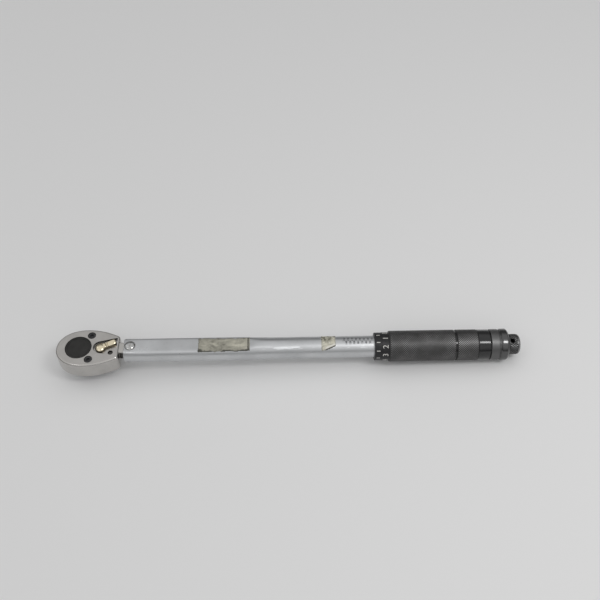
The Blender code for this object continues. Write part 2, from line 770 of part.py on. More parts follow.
def add_click_mechanism():
    wide = BLOCK_WIDTH / 2
    tall = 0.5 * ARM_TAIL_WIDTH
    block = box("tilt_block", (BLOCK_START, -wide, -tall), (BLOCK_END, wide, tall))
    bevel = block.modifiers.new("edges", "BEVEL")
    bevel.width = 0.0008
    bevel.segments = 2
    piece(block, "block_axis", STEEL, 0.25)

    nose = 0.62 * RUNNER_RADIUS
    shoulder = PLUNGER_START + 0.22 * PLUNGER_LENGTH
    spigot = PLUNGER_END + 0.0070
    plunger = turned(
        "plunger",
        [
            (PLUNGER_START, 0.0),
            (PLUNGER_START, nose),
            (shoulder, nose),
            (shoulder + 0.001, RUNNER_RADIUS),
            (PLUNGER_END, RUNNER_RADIUS),
            (PLUNGER_END, SPIGOT_RADIUS),
            (spigot, SPIGOT_RADIUS),
            (spigot, 0.0),
        ],
        closed=False,
        steps=24,
    )
    piece(plunger, "plunger_axis", STEEL, 0.3)

    inset = GAP + SPRING_WIRE / 2
    spring = coil(
        "main_spring",
        (PLUNGER_END + inset, 0.0, 0.0),
        (SEAT_START - inset, 0.0, 0.0),
        SPRING_RADIUS,
        SPRING_WIRE,
        SPRING_TURNS,
    )
    piece(spring, "wrench_frame", (0.25, 0.25, 0.26), 0.35)

    front = SEAT_START - 0.0070
    floor = SEAT_END - SOCKET_DEPTH
    seat = turned(
        "spring_seat",
        [
            (front, 0.0),
            (front, SPIGOT_RADIUS),
            (SEAT_START, SPIGOT_RADIUS),
            (SEAT_START, RUNNER_RADIUS),
            (SEAT_END, RUNNER_RADIUS),
            (SEAT_END, SOCKET_RADIUS),
            (floor, SOCKET_RADIUS),
            (floor, 0.0),
        ],
        closed=False,
        steps=24,
    )
    piece(seat, "thrust_axis", STEEL, 0.3)
    centre = (THRUST_BALL_AT, 0.0, 0.0)
    piece(ball("thrust_ball", centre, THRUST_BALL_RADIUS), "thrust_axis", STEEL, 0.12)

    bore = THREAD_RADIUS + GAP
    outer = BORE_RADIUS - 0.0002
    nut = turned(
        "adjusting_nut",
        [(NUT_START, bore), (NUT_START, outer), (NUT_END, outer), (NUT_END, bore)],
    )
    at = (NUT_START + NUT_END) / 2
    for side, name in ((1.0, "upper"), (-1.0, "lower")):
        inner = (at, 0.0, side * (bore + 0.0012))
        cut(nut, rod("nut_hole_" + name, inner, (at, 0.0, side * 0.012), 0.0017, sides=16))
        pin = rod(
            "nut_pin_" + name,
            (at, 0.0, side * (bore + 0.0014)),
            (at, 0.0, side * (TUBE_RADIUS - 0.0002)),
            0.0015,
            sides=16,
        )
        piece(pin, "wrench_frame", STEEL, 0.3)
    piece(nut, "wrench_frame", BRASS, 0.35)


def add_handle():
    groove = KNURL_START + GROOVE_ALONG
    low = GRIP_RADIUS - GROOVE_DEPTH
    step = CAP_SPIGOT - GAP
    wide = CAP_SPIGOT_RADIUS + GAP
    grip = turned(
        "grip_sleeve",
        [
            (DIAL_START, GRIP_BORE),
            (DIAL_START, DIAL_RADIUS - 0.0005),
            (DIAL_START + 0.0005, DIAL_RADIUS),
            (KNURL_START, DIAL_RADIUS),
            (KNURL_START, GRIP_RADIUS - 0.0004),
            (KNURL_START + 0.0004, GRIP_RADIUS),
            (groove - GROOVE_WIDTH / 2, GRIP_RADIUS),
            (groove - GROOVE_WIDTH / 2, low),
            (groove + GROOVE_WIDTH / 2, low),
            (groove + GROOVE_WIDTH / 2, GRIP_RADIUS),
            (KNURL_END, GRIP_RADIUS),
            (KNURL_END, BAND_RADIUS),
            (BAND_END - 0.0004, BAND_RADIUS),
            (BAND_END, BAND_RADIUS - 0.0004),
            (BAND_END, wide),
            (step, wide),
            (step, GRIP_BORE),
        ],
        steps=40,
    )
    piece(grip, "handle_axis", (0.05, 0.05, 0.05), 0.45, 0.6)

    hole = HUB_TAIL_RADIUS + GAP
    cap = turned(
        "end_cap",
        [
            (CAP_SPIGOT, CAP_BORE),
            (CAP_SPIGOT, CAP_SPIGOT_RADIUS),
            (RING_START, CAP_SPIGOT_RADIUS),
            (RING_START, RING_RADIUS - 0.0003),
            (RING_START + 0.0003, RING_RADIUS),
            (RING_END - 0.0003, RING_RADIUS),
            (RING_END, RING_RADIUS - 0.0003),
            (RING_END, NECK_RADIUS),
            (END_START, NECK_RADIUS),
            (END_START, END_RADIUS - 0.0003),
            (END_START + 0.0003, END_RADIUS),
            (CAP_END - END_CHAMFER, END_RADIUS),
            (CAP_END, END_RADIUS - END_CHAMFER),
            (CAP_END, hole),
            (CAP_WALL, hole),
            (CAP_WALL, CAP_BORE),
        ],
        steps=40,
    )
    piece(cap, "handle_axis", (0.30, 0.30, 0.31), 0.25, 0.9)

    floor = SCREW_START + SOCKET_DEPTH
    tail = CAP_END - GAP
    screw = turned(
        "adjusting_screw",
        [
            (floor, 0.0),
            (floor, SOCKET_RADIUS),
            (SCREW_START, SOCKET_RADIUS),
            (SCREW_START, THREAD_RADIUS),
            (HUB_START, THREAD_RADIUS),
            (HUB_START, RUNNER_RADIUS),
            (HUB_END, RUNNER_RADIUS),
            (HUB_END, HUB_TAIL_RADIUS),
            (tail, HUB_TAIL_RADIUS),
            (tail, LOCK_BORE_RADIUS),
            (LOCK_BORE_END, LOCK_BORE_RADIUS),
            (LOCK_BORE_END, 0.0),
        ],
        closed=False,
    )
    hole = LOCK_BALL_RADIUS + 0.0002
    for side, name in ((1.0, "left"), (-1.0, "right")):
        out = (LOCK_BALL_AT, side * (RUNNER_RADIUS + 0.002), 0.0)
        cut(screw, rod("ball_port_" + name, (LOCK_BALL_AT, 0.0, 0.0), out, hole, sides=16))
        centre = (LOCK_BALL_AT, side * LOCK_BALL_OUT, 0.0)
        made = ball("lock_ball_" + name, centre, LOCK_BALL_RADIUS)
        piece(made, name + "_ball_axis", STEEL, 0.12)
    piece(screw, "handle_axis", STEEL, 0.3)


def add_lock():
    reach = (LOCK_BALL_RADIUS + GAP) / math.cos(PUSHER_SLOPE)
    slope = math.tan(PUSHER_SLOPE)
    at_ball = LOCK_BALL_OUT - reach
    cone_end = LOCK_BALL_AT + (PUSHER_RADIUS - at_ball) / slope
    tip = LOCK_BORE_END + 0.0006
    tip_radius = PUSHER_RADIUS - (cone_end - tip) * slope
    pusher = turned(
        "lock_pusher",
        [
            (tip, 0.0),
            (tip, tip_radius),
            (cone_end, PUSHER_RADIUS),
            (PUSHER_END, PUSHER_RADIUS),
            (PUSHER_END, 0.0),
        ],
        closed=False,
        steps=24,
    )
    piece(pusher, "lock_axis", STEEL, 0.25)

    chamfer = 0.12 * KNOB_RADIUS
    knob = turned(
        "lock_knob",
        [
            (PUSHER_END + GAP, 0.0),
            (PUSHER_END + GAP, PUSHER_RADIUS),
            (KNOB_START, PUSHER_RADIUS),
            (KNOB_START, 0.8 * KNOB_RADIUS),
            (KNOB_START + 0.0008, 0.8 * KNOB_RADIUS),
            (KNOB_START + 0.0008, 0.93 * KNOB_RADIUS),
            (KNOB_START + 0.0015, KNOB_RADIUS),
            (KNOB_END - 2 * chamfer, KNOB_RADIUS),
            (KNOB_END - 0.6 * chamfer, KNOB_RADIUS - 0.9 * chamfer),
            (KNOB_END, KNOB_RADIUS - 2.6 * chamfer),
            (KNOB_END, 0.0),
        ],
        closed=False,
    )
    turn = math.radians(KNOB_HOLE_TURN)
    way = Vector((0.0, -math.sin(turn), math.cos(turn))) * 2 * KNOB_RADIUS
    middle = Vector((KNOB_HOLE_AT, 0.0, 0.0))
    cut(knob, rod("knob_hole", middle - way, middle + way, KNOB_HOLE_RADIUS, sides=20))
    piece(knob, "knob_axis", (0.07, 0.07, 0.07), 0.4, 0.8)


add_frames()
add_tube()
add_head()
add_cover()
add_drive()
add_reversing_gear()
add_click_mechanism()
add_handle()
add_lock()
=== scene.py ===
"""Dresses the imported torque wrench: finer forms, knurling, marks, finishes and a plain studio."""

import json
import math

import bmesh
import bpy
from bpy.props import FloatProperty, FloatVectorProperty, IntProperty, PointerProperty
from mathutils import Matrix, Vector, noise


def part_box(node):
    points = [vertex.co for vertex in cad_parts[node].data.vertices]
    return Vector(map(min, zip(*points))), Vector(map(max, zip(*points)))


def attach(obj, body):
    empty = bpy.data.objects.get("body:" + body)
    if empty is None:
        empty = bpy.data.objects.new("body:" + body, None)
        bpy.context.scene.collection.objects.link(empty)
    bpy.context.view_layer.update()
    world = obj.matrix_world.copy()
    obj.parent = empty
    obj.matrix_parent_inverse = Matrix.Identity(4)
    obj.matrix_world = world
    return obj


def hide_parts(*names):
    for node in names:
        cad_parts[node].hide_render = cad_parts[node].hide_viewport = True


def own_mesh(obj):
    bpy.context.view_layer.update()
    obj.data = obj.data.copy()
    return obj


bl_info = {
    "name": "Torque wrench looks",
    "version": (1, 0, 0),
    "blender": (4, 5, 0),
    "location": "3D View > Sidebar > Wrench",
    "description": "Builds the visible forms and finishes of a click torque wrench",
    "category": "Object",
}

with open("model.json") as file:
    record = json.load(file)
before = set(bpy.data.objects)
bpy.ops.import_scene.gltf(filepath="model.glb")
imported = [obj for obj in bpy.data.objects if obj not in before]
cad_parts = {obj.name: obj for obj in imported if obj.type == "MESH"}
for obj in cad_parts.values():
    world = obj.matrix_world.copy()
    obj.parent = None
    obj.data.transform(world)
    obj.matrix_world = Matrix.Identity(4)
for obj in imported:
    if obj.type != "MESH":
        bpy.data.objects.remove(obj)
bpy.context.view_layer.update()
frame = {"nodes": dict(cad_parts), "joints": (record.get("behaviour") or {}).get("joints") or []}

TUBE_LOW, TUBE_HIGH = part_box("tube_housing")
AXIS_LEVEL = (TUBE_LOW[2] + TUBE_HIGH[2]) / 2
ARM_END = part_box("head_body")[1][0]
STEM_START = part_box("lock_knob")[0][0]

# Room between pieces that move past each other or are set into each other.
PLAY = 0.0003
# How far a cutting shape reaches past the surface that it opens.
OVERCUT = 0.002
# Width of the rounding at the square's end, and of the end ring's chamfer.
SQUARE_EASE = 0.0008
CAP_CHAMFER = 0.0016
# Half the thickness of painted and inked marks.
MARK_HALF = 0.00004
# Font size over the height of the font's figures.
FIGURE_SIZE = 1.42


def length(label, default, description):
    """A length in metres."""
    return FloatProperty(name=label, description=description, default=default, unit="LENGTH", precision=5)


def angle(label, degrees, description):
    """An angle, given in degrees and kept in radians."""
    turn = math.radians(degrees)
    return FloatProperty(name=label, description=description, default=turn, subtype="ANGLE")


def colour(label, default, description):
    """A linear RGB colour."""
    limits = {"size": 3, "min": 0.0, "max": 1.0}
    return FloatVectorProperty(
        name=label, description=description, default=default, subtype="COLOR", **limits
    )


def strength(label, default, description):
    """The strength of a light."""
    return FloatProperty(name=label, description=description, default=default, min=0.0)


class WrenchHeadSizes(bpy.types.PropertyGroup):
    """Sizes of the ratchet head, from the drive's axis and the tube's axis."""

    width: length("Width", 0.0450, "Across the widest part of the head")
    nose: length("Nose", 0.0226, "From the drive's axis to the tip of the head")
    widest: length("Widest at", 0.0070, "From the drive's axis to the widest part")
    shoulder: length("Shoulder", 0.0411, "From the drive's axis to the head's end face")
    shoulder_width: length("Shoulder width", 0.0262, "Across the head's end face")
    thickness: length("Thickness", 0.0200, "Top of the head to its underside")
    rise: length("Rise", 0.0068, "Top of the head above the tube's axis")
    rim: length("Rim", 0.0021, "Radius of the rounded rim")
    disc: length("Disc radius", 0.0131, "Radius of the dark disc")
    screw_along: length("Screws along", 0.0118, "Screws from the drive's axis")
    screw_across: length("Screws across", 0.0146, "Screws from the middle line")
    screw_radius: length("Screw radius", 0.00385, "Radius of a screw's head")
    lever_along: length("Lever pivot", 0.0220, "Lever's pivot from the drive's axis")
    lever_reach: length("Lever reach", 0.0169, "Lever's pivot to its tip")
    lever_boss: length("Lever boss", 0.0054, "Radius of the lever's boss")
    lever_angle: angle("Lever angle", 26.0, "Turn of the lever from the middle line")
    recess: length("Recess", 0.0026, "Depth of the lever's recess")
    dimple: length("Dimple", 0.0026, "Radius of the dimples in the recess")
    square: length("Square", 0.0127, "Across the flats of the square drive")
    square_reach: length("Square reach", 0.0153, "How far the square stands out under the head")


class WrenchTubeSizes(bpy.types.PropertyGroup):
    """Sizes of the tube, its pressed flats and the rivet."""

    front: length("Front", 0.0459, "From the drive's axis to the tube's mouth")
    end: length("End", 0.3953, "From the drive's axis to the tube's hidden end")
    radius: length("Radius", 0.0110, "Radius of the round part")
    wall: length("Wall", 0.0020, "Thickness of the tube's wall")
    pressed: length("Pressed radius", 0.0117, "Radius of the sides where the tube is pressed")
    flat: length("Flat height", 0.0085, "Height of the flats above the axis")
    flat_end: length("Flat end", 0.1570, "Where the flats start to run out")
    run_out: length("Run-out", 0.0440, "Length over which the tube becomes round")
    pivot: length("Rivet", 0.0521, "From the drive's axis to the rivet")
    pivot_radius: length("Rivet radius", 0.0056, "Radius of the rivet's head")
    pivot_rise: length("Rivet rise", 0.0020, "Height of the rivet's dome")


class WrenchHandleSizes(bpy.types.PropertyGroup):
    """Sizes of the dial, grip, end rings and lock knob."""

    dial_start: length("Dial start", 0.2988, "Front edge of the dial")
    dial_end: length("Dial end", 0.3135, "Where the knurl starts")
    dial_radius: length("Dial radius", 0.0141, "Radius of the dial")
    grip_radius: length("Grip radius", 0.01575, "Radius over the knurl's points")
    groove: length("Ring groove", 0.3810, "Middle of the black ring groove")
    knurl_end: length("Knurl end", 0.4032, "Where the gloss band starts")
    band_end: length("Band end", 0.4151, "Where the gloss band ends")
    band_radius: length("Band radius", 0.0155, "Radius of the gloss band")
    ring_start: length("Ring start", 0.4161, "Front of the satin ring")
    ring_end: length("Ring end", 0.4244, "Back of the satin ring")
    ring_radius: length("Ring radius", 0.0156, "Radius of the satin ring")
    cap_start: length("End ring start", 0.4260, "Front of the polished end ring")
    cap_end: length("End ring end", 0.4340, "Back of the polished end ring")
    cap_radius: length("End ring radius", 0.0160, "Radius of the polished end ring")
    knob_start: length("Knob start", 0.4345, "Front of the lock knob")
    knob_end: length("Knob end", 0.4472, "Back of the lock knob")
    knob_radius: length("Knob radius", 0.0104, "Radius of the lock knob")
    knob_hole: length("Knob hole", 0.0024, "Radius of the knob's cross hole")
    knob_hole_turn: angle("Knob hole turn", 15.0, "Turn of the cross hole from upright")
    knurl: length("Knurl pitch", 0.00205, "Width of one knurl diamond")
    knurl_depth: length("Knurl depth", 0.00022, "Depth of the knurl's grooves")
    numeral_turn: angle("Dial turn", 1.5, "Turn of the numeral 1 from the top")
    scale_turn: angle("Scale turn", 2.0, "Turn of the main scale's line from the top")
    numeral_count: IntProperty(name="Dial numerals", description="Numbers round the dial", default=10)


class WrenchFinishes(bpy.types.PropertyGroup):
    """Colours of the wrench's finishes."""

    satin: colour("Satin chrome", (0.53, 0.515, 0.495), "Head")
    chrome: colour("Chrome", (0.60, 0.61, 0.62), "Tube")
    warm: colour("Polished lever", (0.84, 0.75, 0.56), "Lever")
    charcoal: colour("Charcoal", (0.030, 0.029, 0.028), "Disc in the head")
    black: colour("Black oxide", (0.022, 0.022, 0.023), "Screws and dial")
    grip: colour("Grip", (0.268, 0.265, 0.264), "Knurled grip")
    gunmetal: colour("Gunmetal", (0.17, 0.17, 0.17), "End rings and knob")
    steel: colour("Steel", (0.55, 0.55, 0.56), "Drive and inner works")
    brass: colour("Brass", (0.70, 0.50, 0.24), "Nut")
    paint: colour("Mark paint", (0.64, 0.63, 0.60), "Marks on the dial")
    ink: colour("Ink", (0.13, 0.132, 0.142), "Main scale")
    paper: colour("Paper", (0.43, 0.415, 0.345), "Worn label")
    floor: colour("Floor", (0.82, 0.82, 0.82), "Studio floor")


class WrenchStage(bpy.types.PropertyGroup):
    """Light of the studio."""

    key: strength("Key light", 3.0, "Power of the main lamp")
    fill: strength("Fill light", 0.4, "Power of the side lamp")
    near: strength("Near light", 0.4, "Power of the small lamp at the near left")
    sky: strength("Sky", 0.74, "Strength of the bright part of the sky")
    sky_low: strength("Low sky", 0.20, "Strength of the dim sky all round")
    sky_tilt: angle("Sky tilt", 12.0, "Lean of the bright sky to the front")


class Value:
    """A shader socket that Python arithmetic can use. Each operator adds one Math node."""

    def __init__(self, finish, socket):
        self.finish = finish
        self.socket = socket

    def math(self, operation, *values):
        inputs = dict(enumerate(values))
        return self.finish.node("ShaderNodeMath", {"operation": operation}, inputs)

    def __add__(self, other):
        return self.math("ADD", self, other)

    def __sub__(self, other):
        return self.math("SUBTRACT", self, other)

    def __rsub__(self, other):
        return self.math("SUBTRACT", other, self)

    def __mul__(self, other):
        return self.math("MULTIPLY", self, other)

    def __truediv__(self, other):
        return self.math("DIVIDE", self, other)

    def __pow__(self, other):
        return self.math("POWER", self, other)

    def __gt__(self, other):
        return self.math("GREATER_THAN", self, other)

    def __lt__(self, other):
        return self.math("LESS_THAN", self, other)


class Nodes:
    """Makes nodes in one tree and sets the inputs of its shader."""

    def __init__(self, tree, shader):
        self.tree = tree
        self.shader = tree.nodes[shader]

    def set(self, socket, value):
        if isinstance(value, Value):
            self.tree.links.new(value.socket, self.shader.inputs[socket])
        else:
            self.shader.inputs[socket].default_value = value

    def node(self, kind, settings=None, inputs=None, output=0):
        """Adds a node and gives back one of its outputs. stops are the greys of a colour ramp."""
        made = self.tree.nodes.new(kind)
        for name, value in (settings or {}).items():
            if name == "stops":
                ramp = made.color_ramp.elements
                while len(ramp) < len(value):
                    ramp.new(0.5)
                for stop, (place, shade) in zip(ramp, value):
                    stop.position = place
                    stop.color = (shade, shade, shade, 1.0)
            else:
                setattr(made, name, value)
        for socket, value in (inputs or {}).items():
            if isinstance(value, Value):
                self.tree.links.new(value.socket, made.inputs[socket])
            else:
                made.inputs[socket].default_value = value
        return Value(self, made.outputs[output])


class Finish(Nodes):
    """One material: a Principled shader and the nodes that feed it."""

    def __init__(self, name, **constants):
        self.material = bpy.data.materials.new(name)
        self.material.use_nodes = True
        super().__init__(self.material.node_tree, "Principled BSDF")
        for socket, value in constants.items():
            self.set(socket.replace("_", " ").title(), value)

    def place(self, scale):
        spot = self.node("ShaderNodeTexCoord", output=3)
        return self.node("ShaderNodeMapping", None, {"Vector": spot, "Scale": scale})

    def axis(self, which):
        spot = self.node("ShaderNodeTexCoord", output=3)
        return self.node("ShaderNodeSeparateXYZ", None, {0: spot}, "XYZ".index(which))

    def speckle(self, scale, stretch=(1.0, 1.0, 1.0), detail=4.0, rough=0.55):
        inputs = {"Vector": self.place(stretch), "Scale": scale, "Detail": detail, "Roughness": rough}
        return self.node("ShaderNodeTexNoise", None, inputs)

    def attribute(self, name):
        return self.node("ShaderNodeAttribute", {"attribute_name": name}, None, 2)

    def ramp(self, value, *stops):
        return self.node("ShaderNodeValToRGB", {"stops": stops}, {0: value})

    def blend(self, factor, first, second):
        def full(value):
            return value if isinstance(value, Value) else (*value[:3], 1.0)

        settings = {"data_type": "RGBA", "clamp_factor": True}
        return self.node("ShaderNodeMix", settings, {0: factor, 6: full(first), 7: full(second)}, 2)

    def bump(self, height, strength, distance):
        inputs = {"Strength": strength, "Distance": distance, "Height": height}
        self.set("Normal", self.node("ShaderNodeBump", None, inputs))


def shade(base, factor):
    """A colour made darker or lighter."""
    return tuple(min(1.0, part * factor) for part in base)


def plated(name, base, rough, spread, grain=(1.0, 1.0, 1.0), dirt=0.25, over=None):
    """A plated or bare metal with faint grain and dull patches. over(made, tone) adds its marks."""
    made = Finish(name, metallic=1.0)
    cloud = made.ramp(made.speckle(38.0, detail=5.0), (0.35, 0.0), (0.75, 1.0))
    hair = made.speckle(900.0, grain, detail=3.0)
    spots = made.ramp(made.speckle(420.0, detail=2.0), (0.66, 0.0), (0.74, 1.0))
    stain = cloud * dirt + spots * (dirt * 0.6)
    tone = made.blend(stain, base, shade(base, 0.55))
    made.set("Base Color", over(made, tone) if over else tone)
    made.set("Roughness", cloud * spread + hair * (spread * 0.8) + (rough - 0.4 * spread))
    made.bump(hair, 0.08, 0.0002)
    return made


def greased_lever(base, head):
    """The polished lever: bright on top, with brown painted shade low on its sides, down in the recess."""

    def grease(made, tone):
        depth = (head.rise + 0.0010 - made.axis("Z") + AXIS_LEVEL) * 500.0
        low = made.ramp(depth + made.speckle(900.0, detail=3.0) * 0.3, (0.55, 0.0), (0.95, 1.0))
        # Brown painted shade on the lever's low parts, which sit down in the recess.
        return made.blend(low * 0.8, tone, (0.05, 0.035, 0.018))

    return plated("lever_polish", base, 0.09, 0.06, dirt=0.1, over=grease)


def worn_rivet(base):
    """The polished rivet with a brown film of handling on part of its dome."""

    def film(made, tone):
        brown = made.ramp(made.speckle(330.0, detail=2.0), (0.42, 0.0), (0.58, 1.0))
        return made.blend(brown * 0.5, tone, (0.19, 0.165, 0.115))

    return plated("rivet_polish", base, 0.09, 0.06, dirt=0.15, over=film)


def worn_tube(base, tube):
    """Dull chrome, with long streaks of painted highlight along a band of its round part."""

    def streaks(made, tone):
        x, y = made.axis("X"), made.axis("Y")
        z = made.axis("Z") - AXIS_LEVEL
        # Painted highlight: a band turned towards the near side, where the lamp's highlight falls,
        # brightened in long patches.
        highlight_band = made.ramp((y / z + 0.74) ** 2.0 * 9.0, (0.1, 1.0), (0.8, 0.0)) * (z > 0.0)
        part = made.ramp((x - tube.flat_end) / tube.run_out, (0.3, 0.0), (1.0, 1.0))
        patch = made.ramp(made.speckle(150.0, (0.35, 1.8, 1.8), 3.0), (0.48, 0.0), (0.58, 1.0))
        return made.blend(highlight_band * part * patch * 0.8, tone, shade(base, 1.5))

    return plated("tube_chrome", base, 0.29, 0.20, (0.05, 1.0, 1.0), 0.30, streaks)


def satin_head(base, head, tube):
    """Satin chrome with a fine blasted grain, a smoother rim, and near-black painted shade in the recess and
    under the neck.
    """
    made = Finish("satin_chrome", metallic=1.0)
    x, y = made.axis("X"), made.axis("Y")
    depth = head.rise + AXIS_LEVEL - made.axis("Z")
    recess_start, recess_end, recess_half = 0.0130, head.shoulder - 0.0010, 0.0122
    inside = (x > recess_start) * (x < recess_end) * (y * y < recess_half**2)
    wall = made.ramp(depth * 1000.0, (0.18, 0.0), (0.5, 1.0)) * (depth < head.recess - 0.0002)
    pit = made.ramp((depth - head.recess) * 1000.0, (0.1, 0.0), (0.6, 1.0)) * (depth < head.recess + 0.0020)
    neck_top = head.rise - (tube.flat - tube.wall - 0.0006)
    under_neck = made.ramp((depth - neck_top) * 400.0, (0.35, 0.0), (0.95, 1.0))
    under_neck = under_neck * (x > head.shoulder + 0.0001)
    # Painted shade: near-black on the recess walls, in the dimples below its floor and on the sides under
    # the neck.
    painted_shade = inside * (wall * 0.93 + pit * 0.85) + under_neck * 0.93
    cloud = made.ramp(made.speckle(70.0, detail=6.0, rough=0.62), (0.38, 0.0), (0.72, 1.0))
    fine = made.speckle(2600.0, detail=2.0)
    pits = made.ramp(made.speckle(560.0, detail=2.0), (0.70, 0.0), (0.78, 1.0))
    tone = made.blend(cloud * 0.38, base, shade(base, 0.74))
    tone = made.blend(pits * 0.4, tone, shade(base, 0.4))
    # The near-black colour of the painted shade.
    made.set("Base Color", made.blend(painted_shade, tone, (0.012, 0.011, 0.009)))
    rim = made.ramp(depth * 1000.0, (0.02, 0.0), (0.4, 1.0)) * (1.0 - inside)
    made.set("Roughness", cloud * 0.10 + fine * 0.06 + 0.27 - rim * 0.12)
    made.bump(fine, 0.10, 0.0002)
    return made


def turned_black(name, base, rough, ring_scale):
    """Blackened metal with the faint rings that a lathe leaves, about the drive's axis."""
    made = Finish(name, metallic=0.55)
    x, y = made.axis("X"), made.axis("Y")
    reach = (x * x + y * y) ** 0.5
    grain = made.speckle(700.0, detail=4.0)
    cloud = made.ramp(made.speckle(160.0, detail=5.0), (0.40, 0.0), (0.70, 1.0))
    turned = reach.math("SINE", reach * ring_scale)
    made.set("Base Color", made.blend(cloud * 0.55, base, shade(base, 1.9)))
    made.set("Roughness", cloud * 0.12 + grain * 0.10 + (rough - 0.08))
    made.bump(turned * 0.5 + grain, 0.10, 0.0002)
    return made


def black_oxide(name, base, rough, metallic=0.6):
    """Blackened steel, with faint grey clouds."""
    made = Finish(name, metallic=metallic)
    cloud = made.ramp(made.speckle(300.0, detail=4.0), (0.40, 0.0), (0.72, 1.0))
    grain = made.speckle(1800.0, detail=3.0)
    made.set("Base Color", made.blend(cloud * 0.5, base, shade(base, 2.2)))
    made.set("Roughness", cloud * 0.10 + grain * 0.14 + (rough - 0.08))
    made.bump(grain, 0.10, 0.0002)
    return made


def knurled_metal(name, base, low_radius, high_radius, rough=0.46, rubbed=1.95):
    """Dark metal whose knurl points are rubbed bright and whose grooves carry painted shade, by the distance
    from the tube's axis.
    """
    made = Finish(name, metallic=0.9)
    y, z = made.axis("Y"), made.axis("Z") - AXIS_LEVEL
    reach = (y * y + z * z) ** 0.5
    crest = made.ramp((reach - low_radius) / (high_radius - low_radius), (0.35, 0.0), (0.95, 1.0))
    worn = made.ramp(made.speckle(55.0, detail=5.0), (0.36, 0.18), (0.66, 1.0))
    grain = made.speckle(1500.0, detail=2.0)
    # Grooves darkened as painted shade; points brightened as real wear where the worn mask is high.
    made.set("Base Color", made.blend(crest * worn, shade(base, 0.26), shade(base, rubbed)))
    made.set("Roughness", grain * 0.14 + (rough - 0.05) - crest * 0.06)
    return made


def gloss_black(base):
    """Black paint under a clear coat, a little scuffed."""
    made = Finish("gloss_black", metallic=0.2, coat_roughness=0.06)
    scuff = made.ramp(made.speckle(240.0, (0.15, 1.0, 1.0), 4.0), (0.55, 0.0), (0.80, 1.0))
    made.set("Base Color", made.blend(scuff * 0.35, base, shade(base, 3.0)))
    made.set("Roughness", scuff * 0.05 + 0.13)
    made.set("Coat Weight", 0.40 - scuff * 0.10)
    return made


def worn_paper(name, base, edge_dark, far_dirt, blotchy):
    """Old paper or tape: blotched, rubbed in spots, dirty along its edges and white where it tore, with
    painted shade in a crease and a painted shadow along the torn edge.
    """
    made = Finish(name, metallic=0.0)
    edge, along, across, tear = map(made.attribute, ("edge", "along", "across", "tear"))
    blotch = made.ramp(made.speckle(95.0, (0.6, 1.0, 1.0), 6.0, 0.65), (0.34, 0.0), (0.70, 1.0))
    specks = made.ramp(made.speckle(520.0, (0.5, 1.0, 1.0), 4.0, 0.7), (0.50, 0.0), (0.62, 1.0))
    rubbed = made.ramp(made.speckle(150.0, (0.4, 1.0, 1.0), 5.0, 0.6), (0.60, 0.0), (0.68, 1.0))
    patchy = made.ramp(made.speckle(260.0, (0.8, 1.0, 1.0), 5.0, 0.65), (0.40, 0.0), (0.58, 1.0))
    stray = made.speckle(700.0, detail=3.0) - 0.5
    wide_stray = made.speckle(190.0, (0.6, 1.0, 1.0), 4.0) - 0.5
    rim = made.ramp(edge + wide_stray * 1.6 + stray * 0.4, (0.16, 1.0), (0.40, 0.0))
    rim = rim * made.ramp(across, (0.70, 0.25), (0.88, 1.0)) * (edge < 0.6)
    corner = ((along - 0.02) * 11.0) ** 2.0 + ((across - 1.0) * 4.5) ** 2.0
    spill = made.ramp(corner + stray * 0.6, (0.35, 1.0), (0.95, 0.0))
    # Painted shade of a crease across the sheet near its end.
    crease_shade = made.ramp(((along - 0.966) * 55.0) ** 2.0 + patchy * 0.4, (0.3, 1.0), (0.9, 0.0))
    far_part = made.ramp(across + stray * 0.3, (0.45, 1.0), (0.72, 0.0)) * patchy
    white = made.ramp(tear + stray * 0.3, (0.36, 0.0), (0.44, 1.0), (0.72, 1.0), (0.95, 0.0))
    # Painted shadow: a dark line right along the torn edge, under its lifted rim.
    tear_shadow = made.ramp(tear, (0.28, 1.0), (0.38, 0.0))
    smudge = made.ramp(made.speckle(130.0, (0.8, 1.0, 1.0), 5.0), (0.55, 0.0), (0.64, 1.0))
    tone = made.blend(blotch * blotchy, base, shade(base, 0.45))
    tone = made.blend(smudge * blotchy * 0.7, tone, shade(base, 0.3))
    tone = made.blend(rubbed * 0.5, tone, shade(base, 1.5))
    tone = made.blend(specks * blotch * 0.75, tone, shade(base, 0.2))
    tone = made.blend(far_part * far_dirt, tone, (0.075, 0.072, 0.045))
    tone = made.blend(white * 0.7, tone, (0.86, 0.85, 0.80))
    dark = rim.math("MAXIMUM", rim, spill)
    dark = dark.math("MAXIMUM", dark, crease_shade) * edge_dark
    dark = dark.math("MAXIMUM", dark, tear_shadow)
    made.set("Base Color", made.blend(dark, tone, shade(base, 0.09)))
    made.set("Roughness", blotch * 0.2 + 0.5)
    made.bump(specks + blotch * 0.5, 0.25, 0.0002)
    return made


def flat_paint(name, base, wear):
    """Paint or ink that is partly chipped."""
    made = Finish(name, metallic=0.0)
    chips = made.ramp(made.speckle(1300.0, detail=3.0), (0.42, 0.0), (0.60, 1.0))
    made.set("Base Color", made.blend(chips * wear, base, shade(base, 0.45)))
    made.set("Roughness", chips * 0.2 + 0.4)
    return made


FINISHES = {}


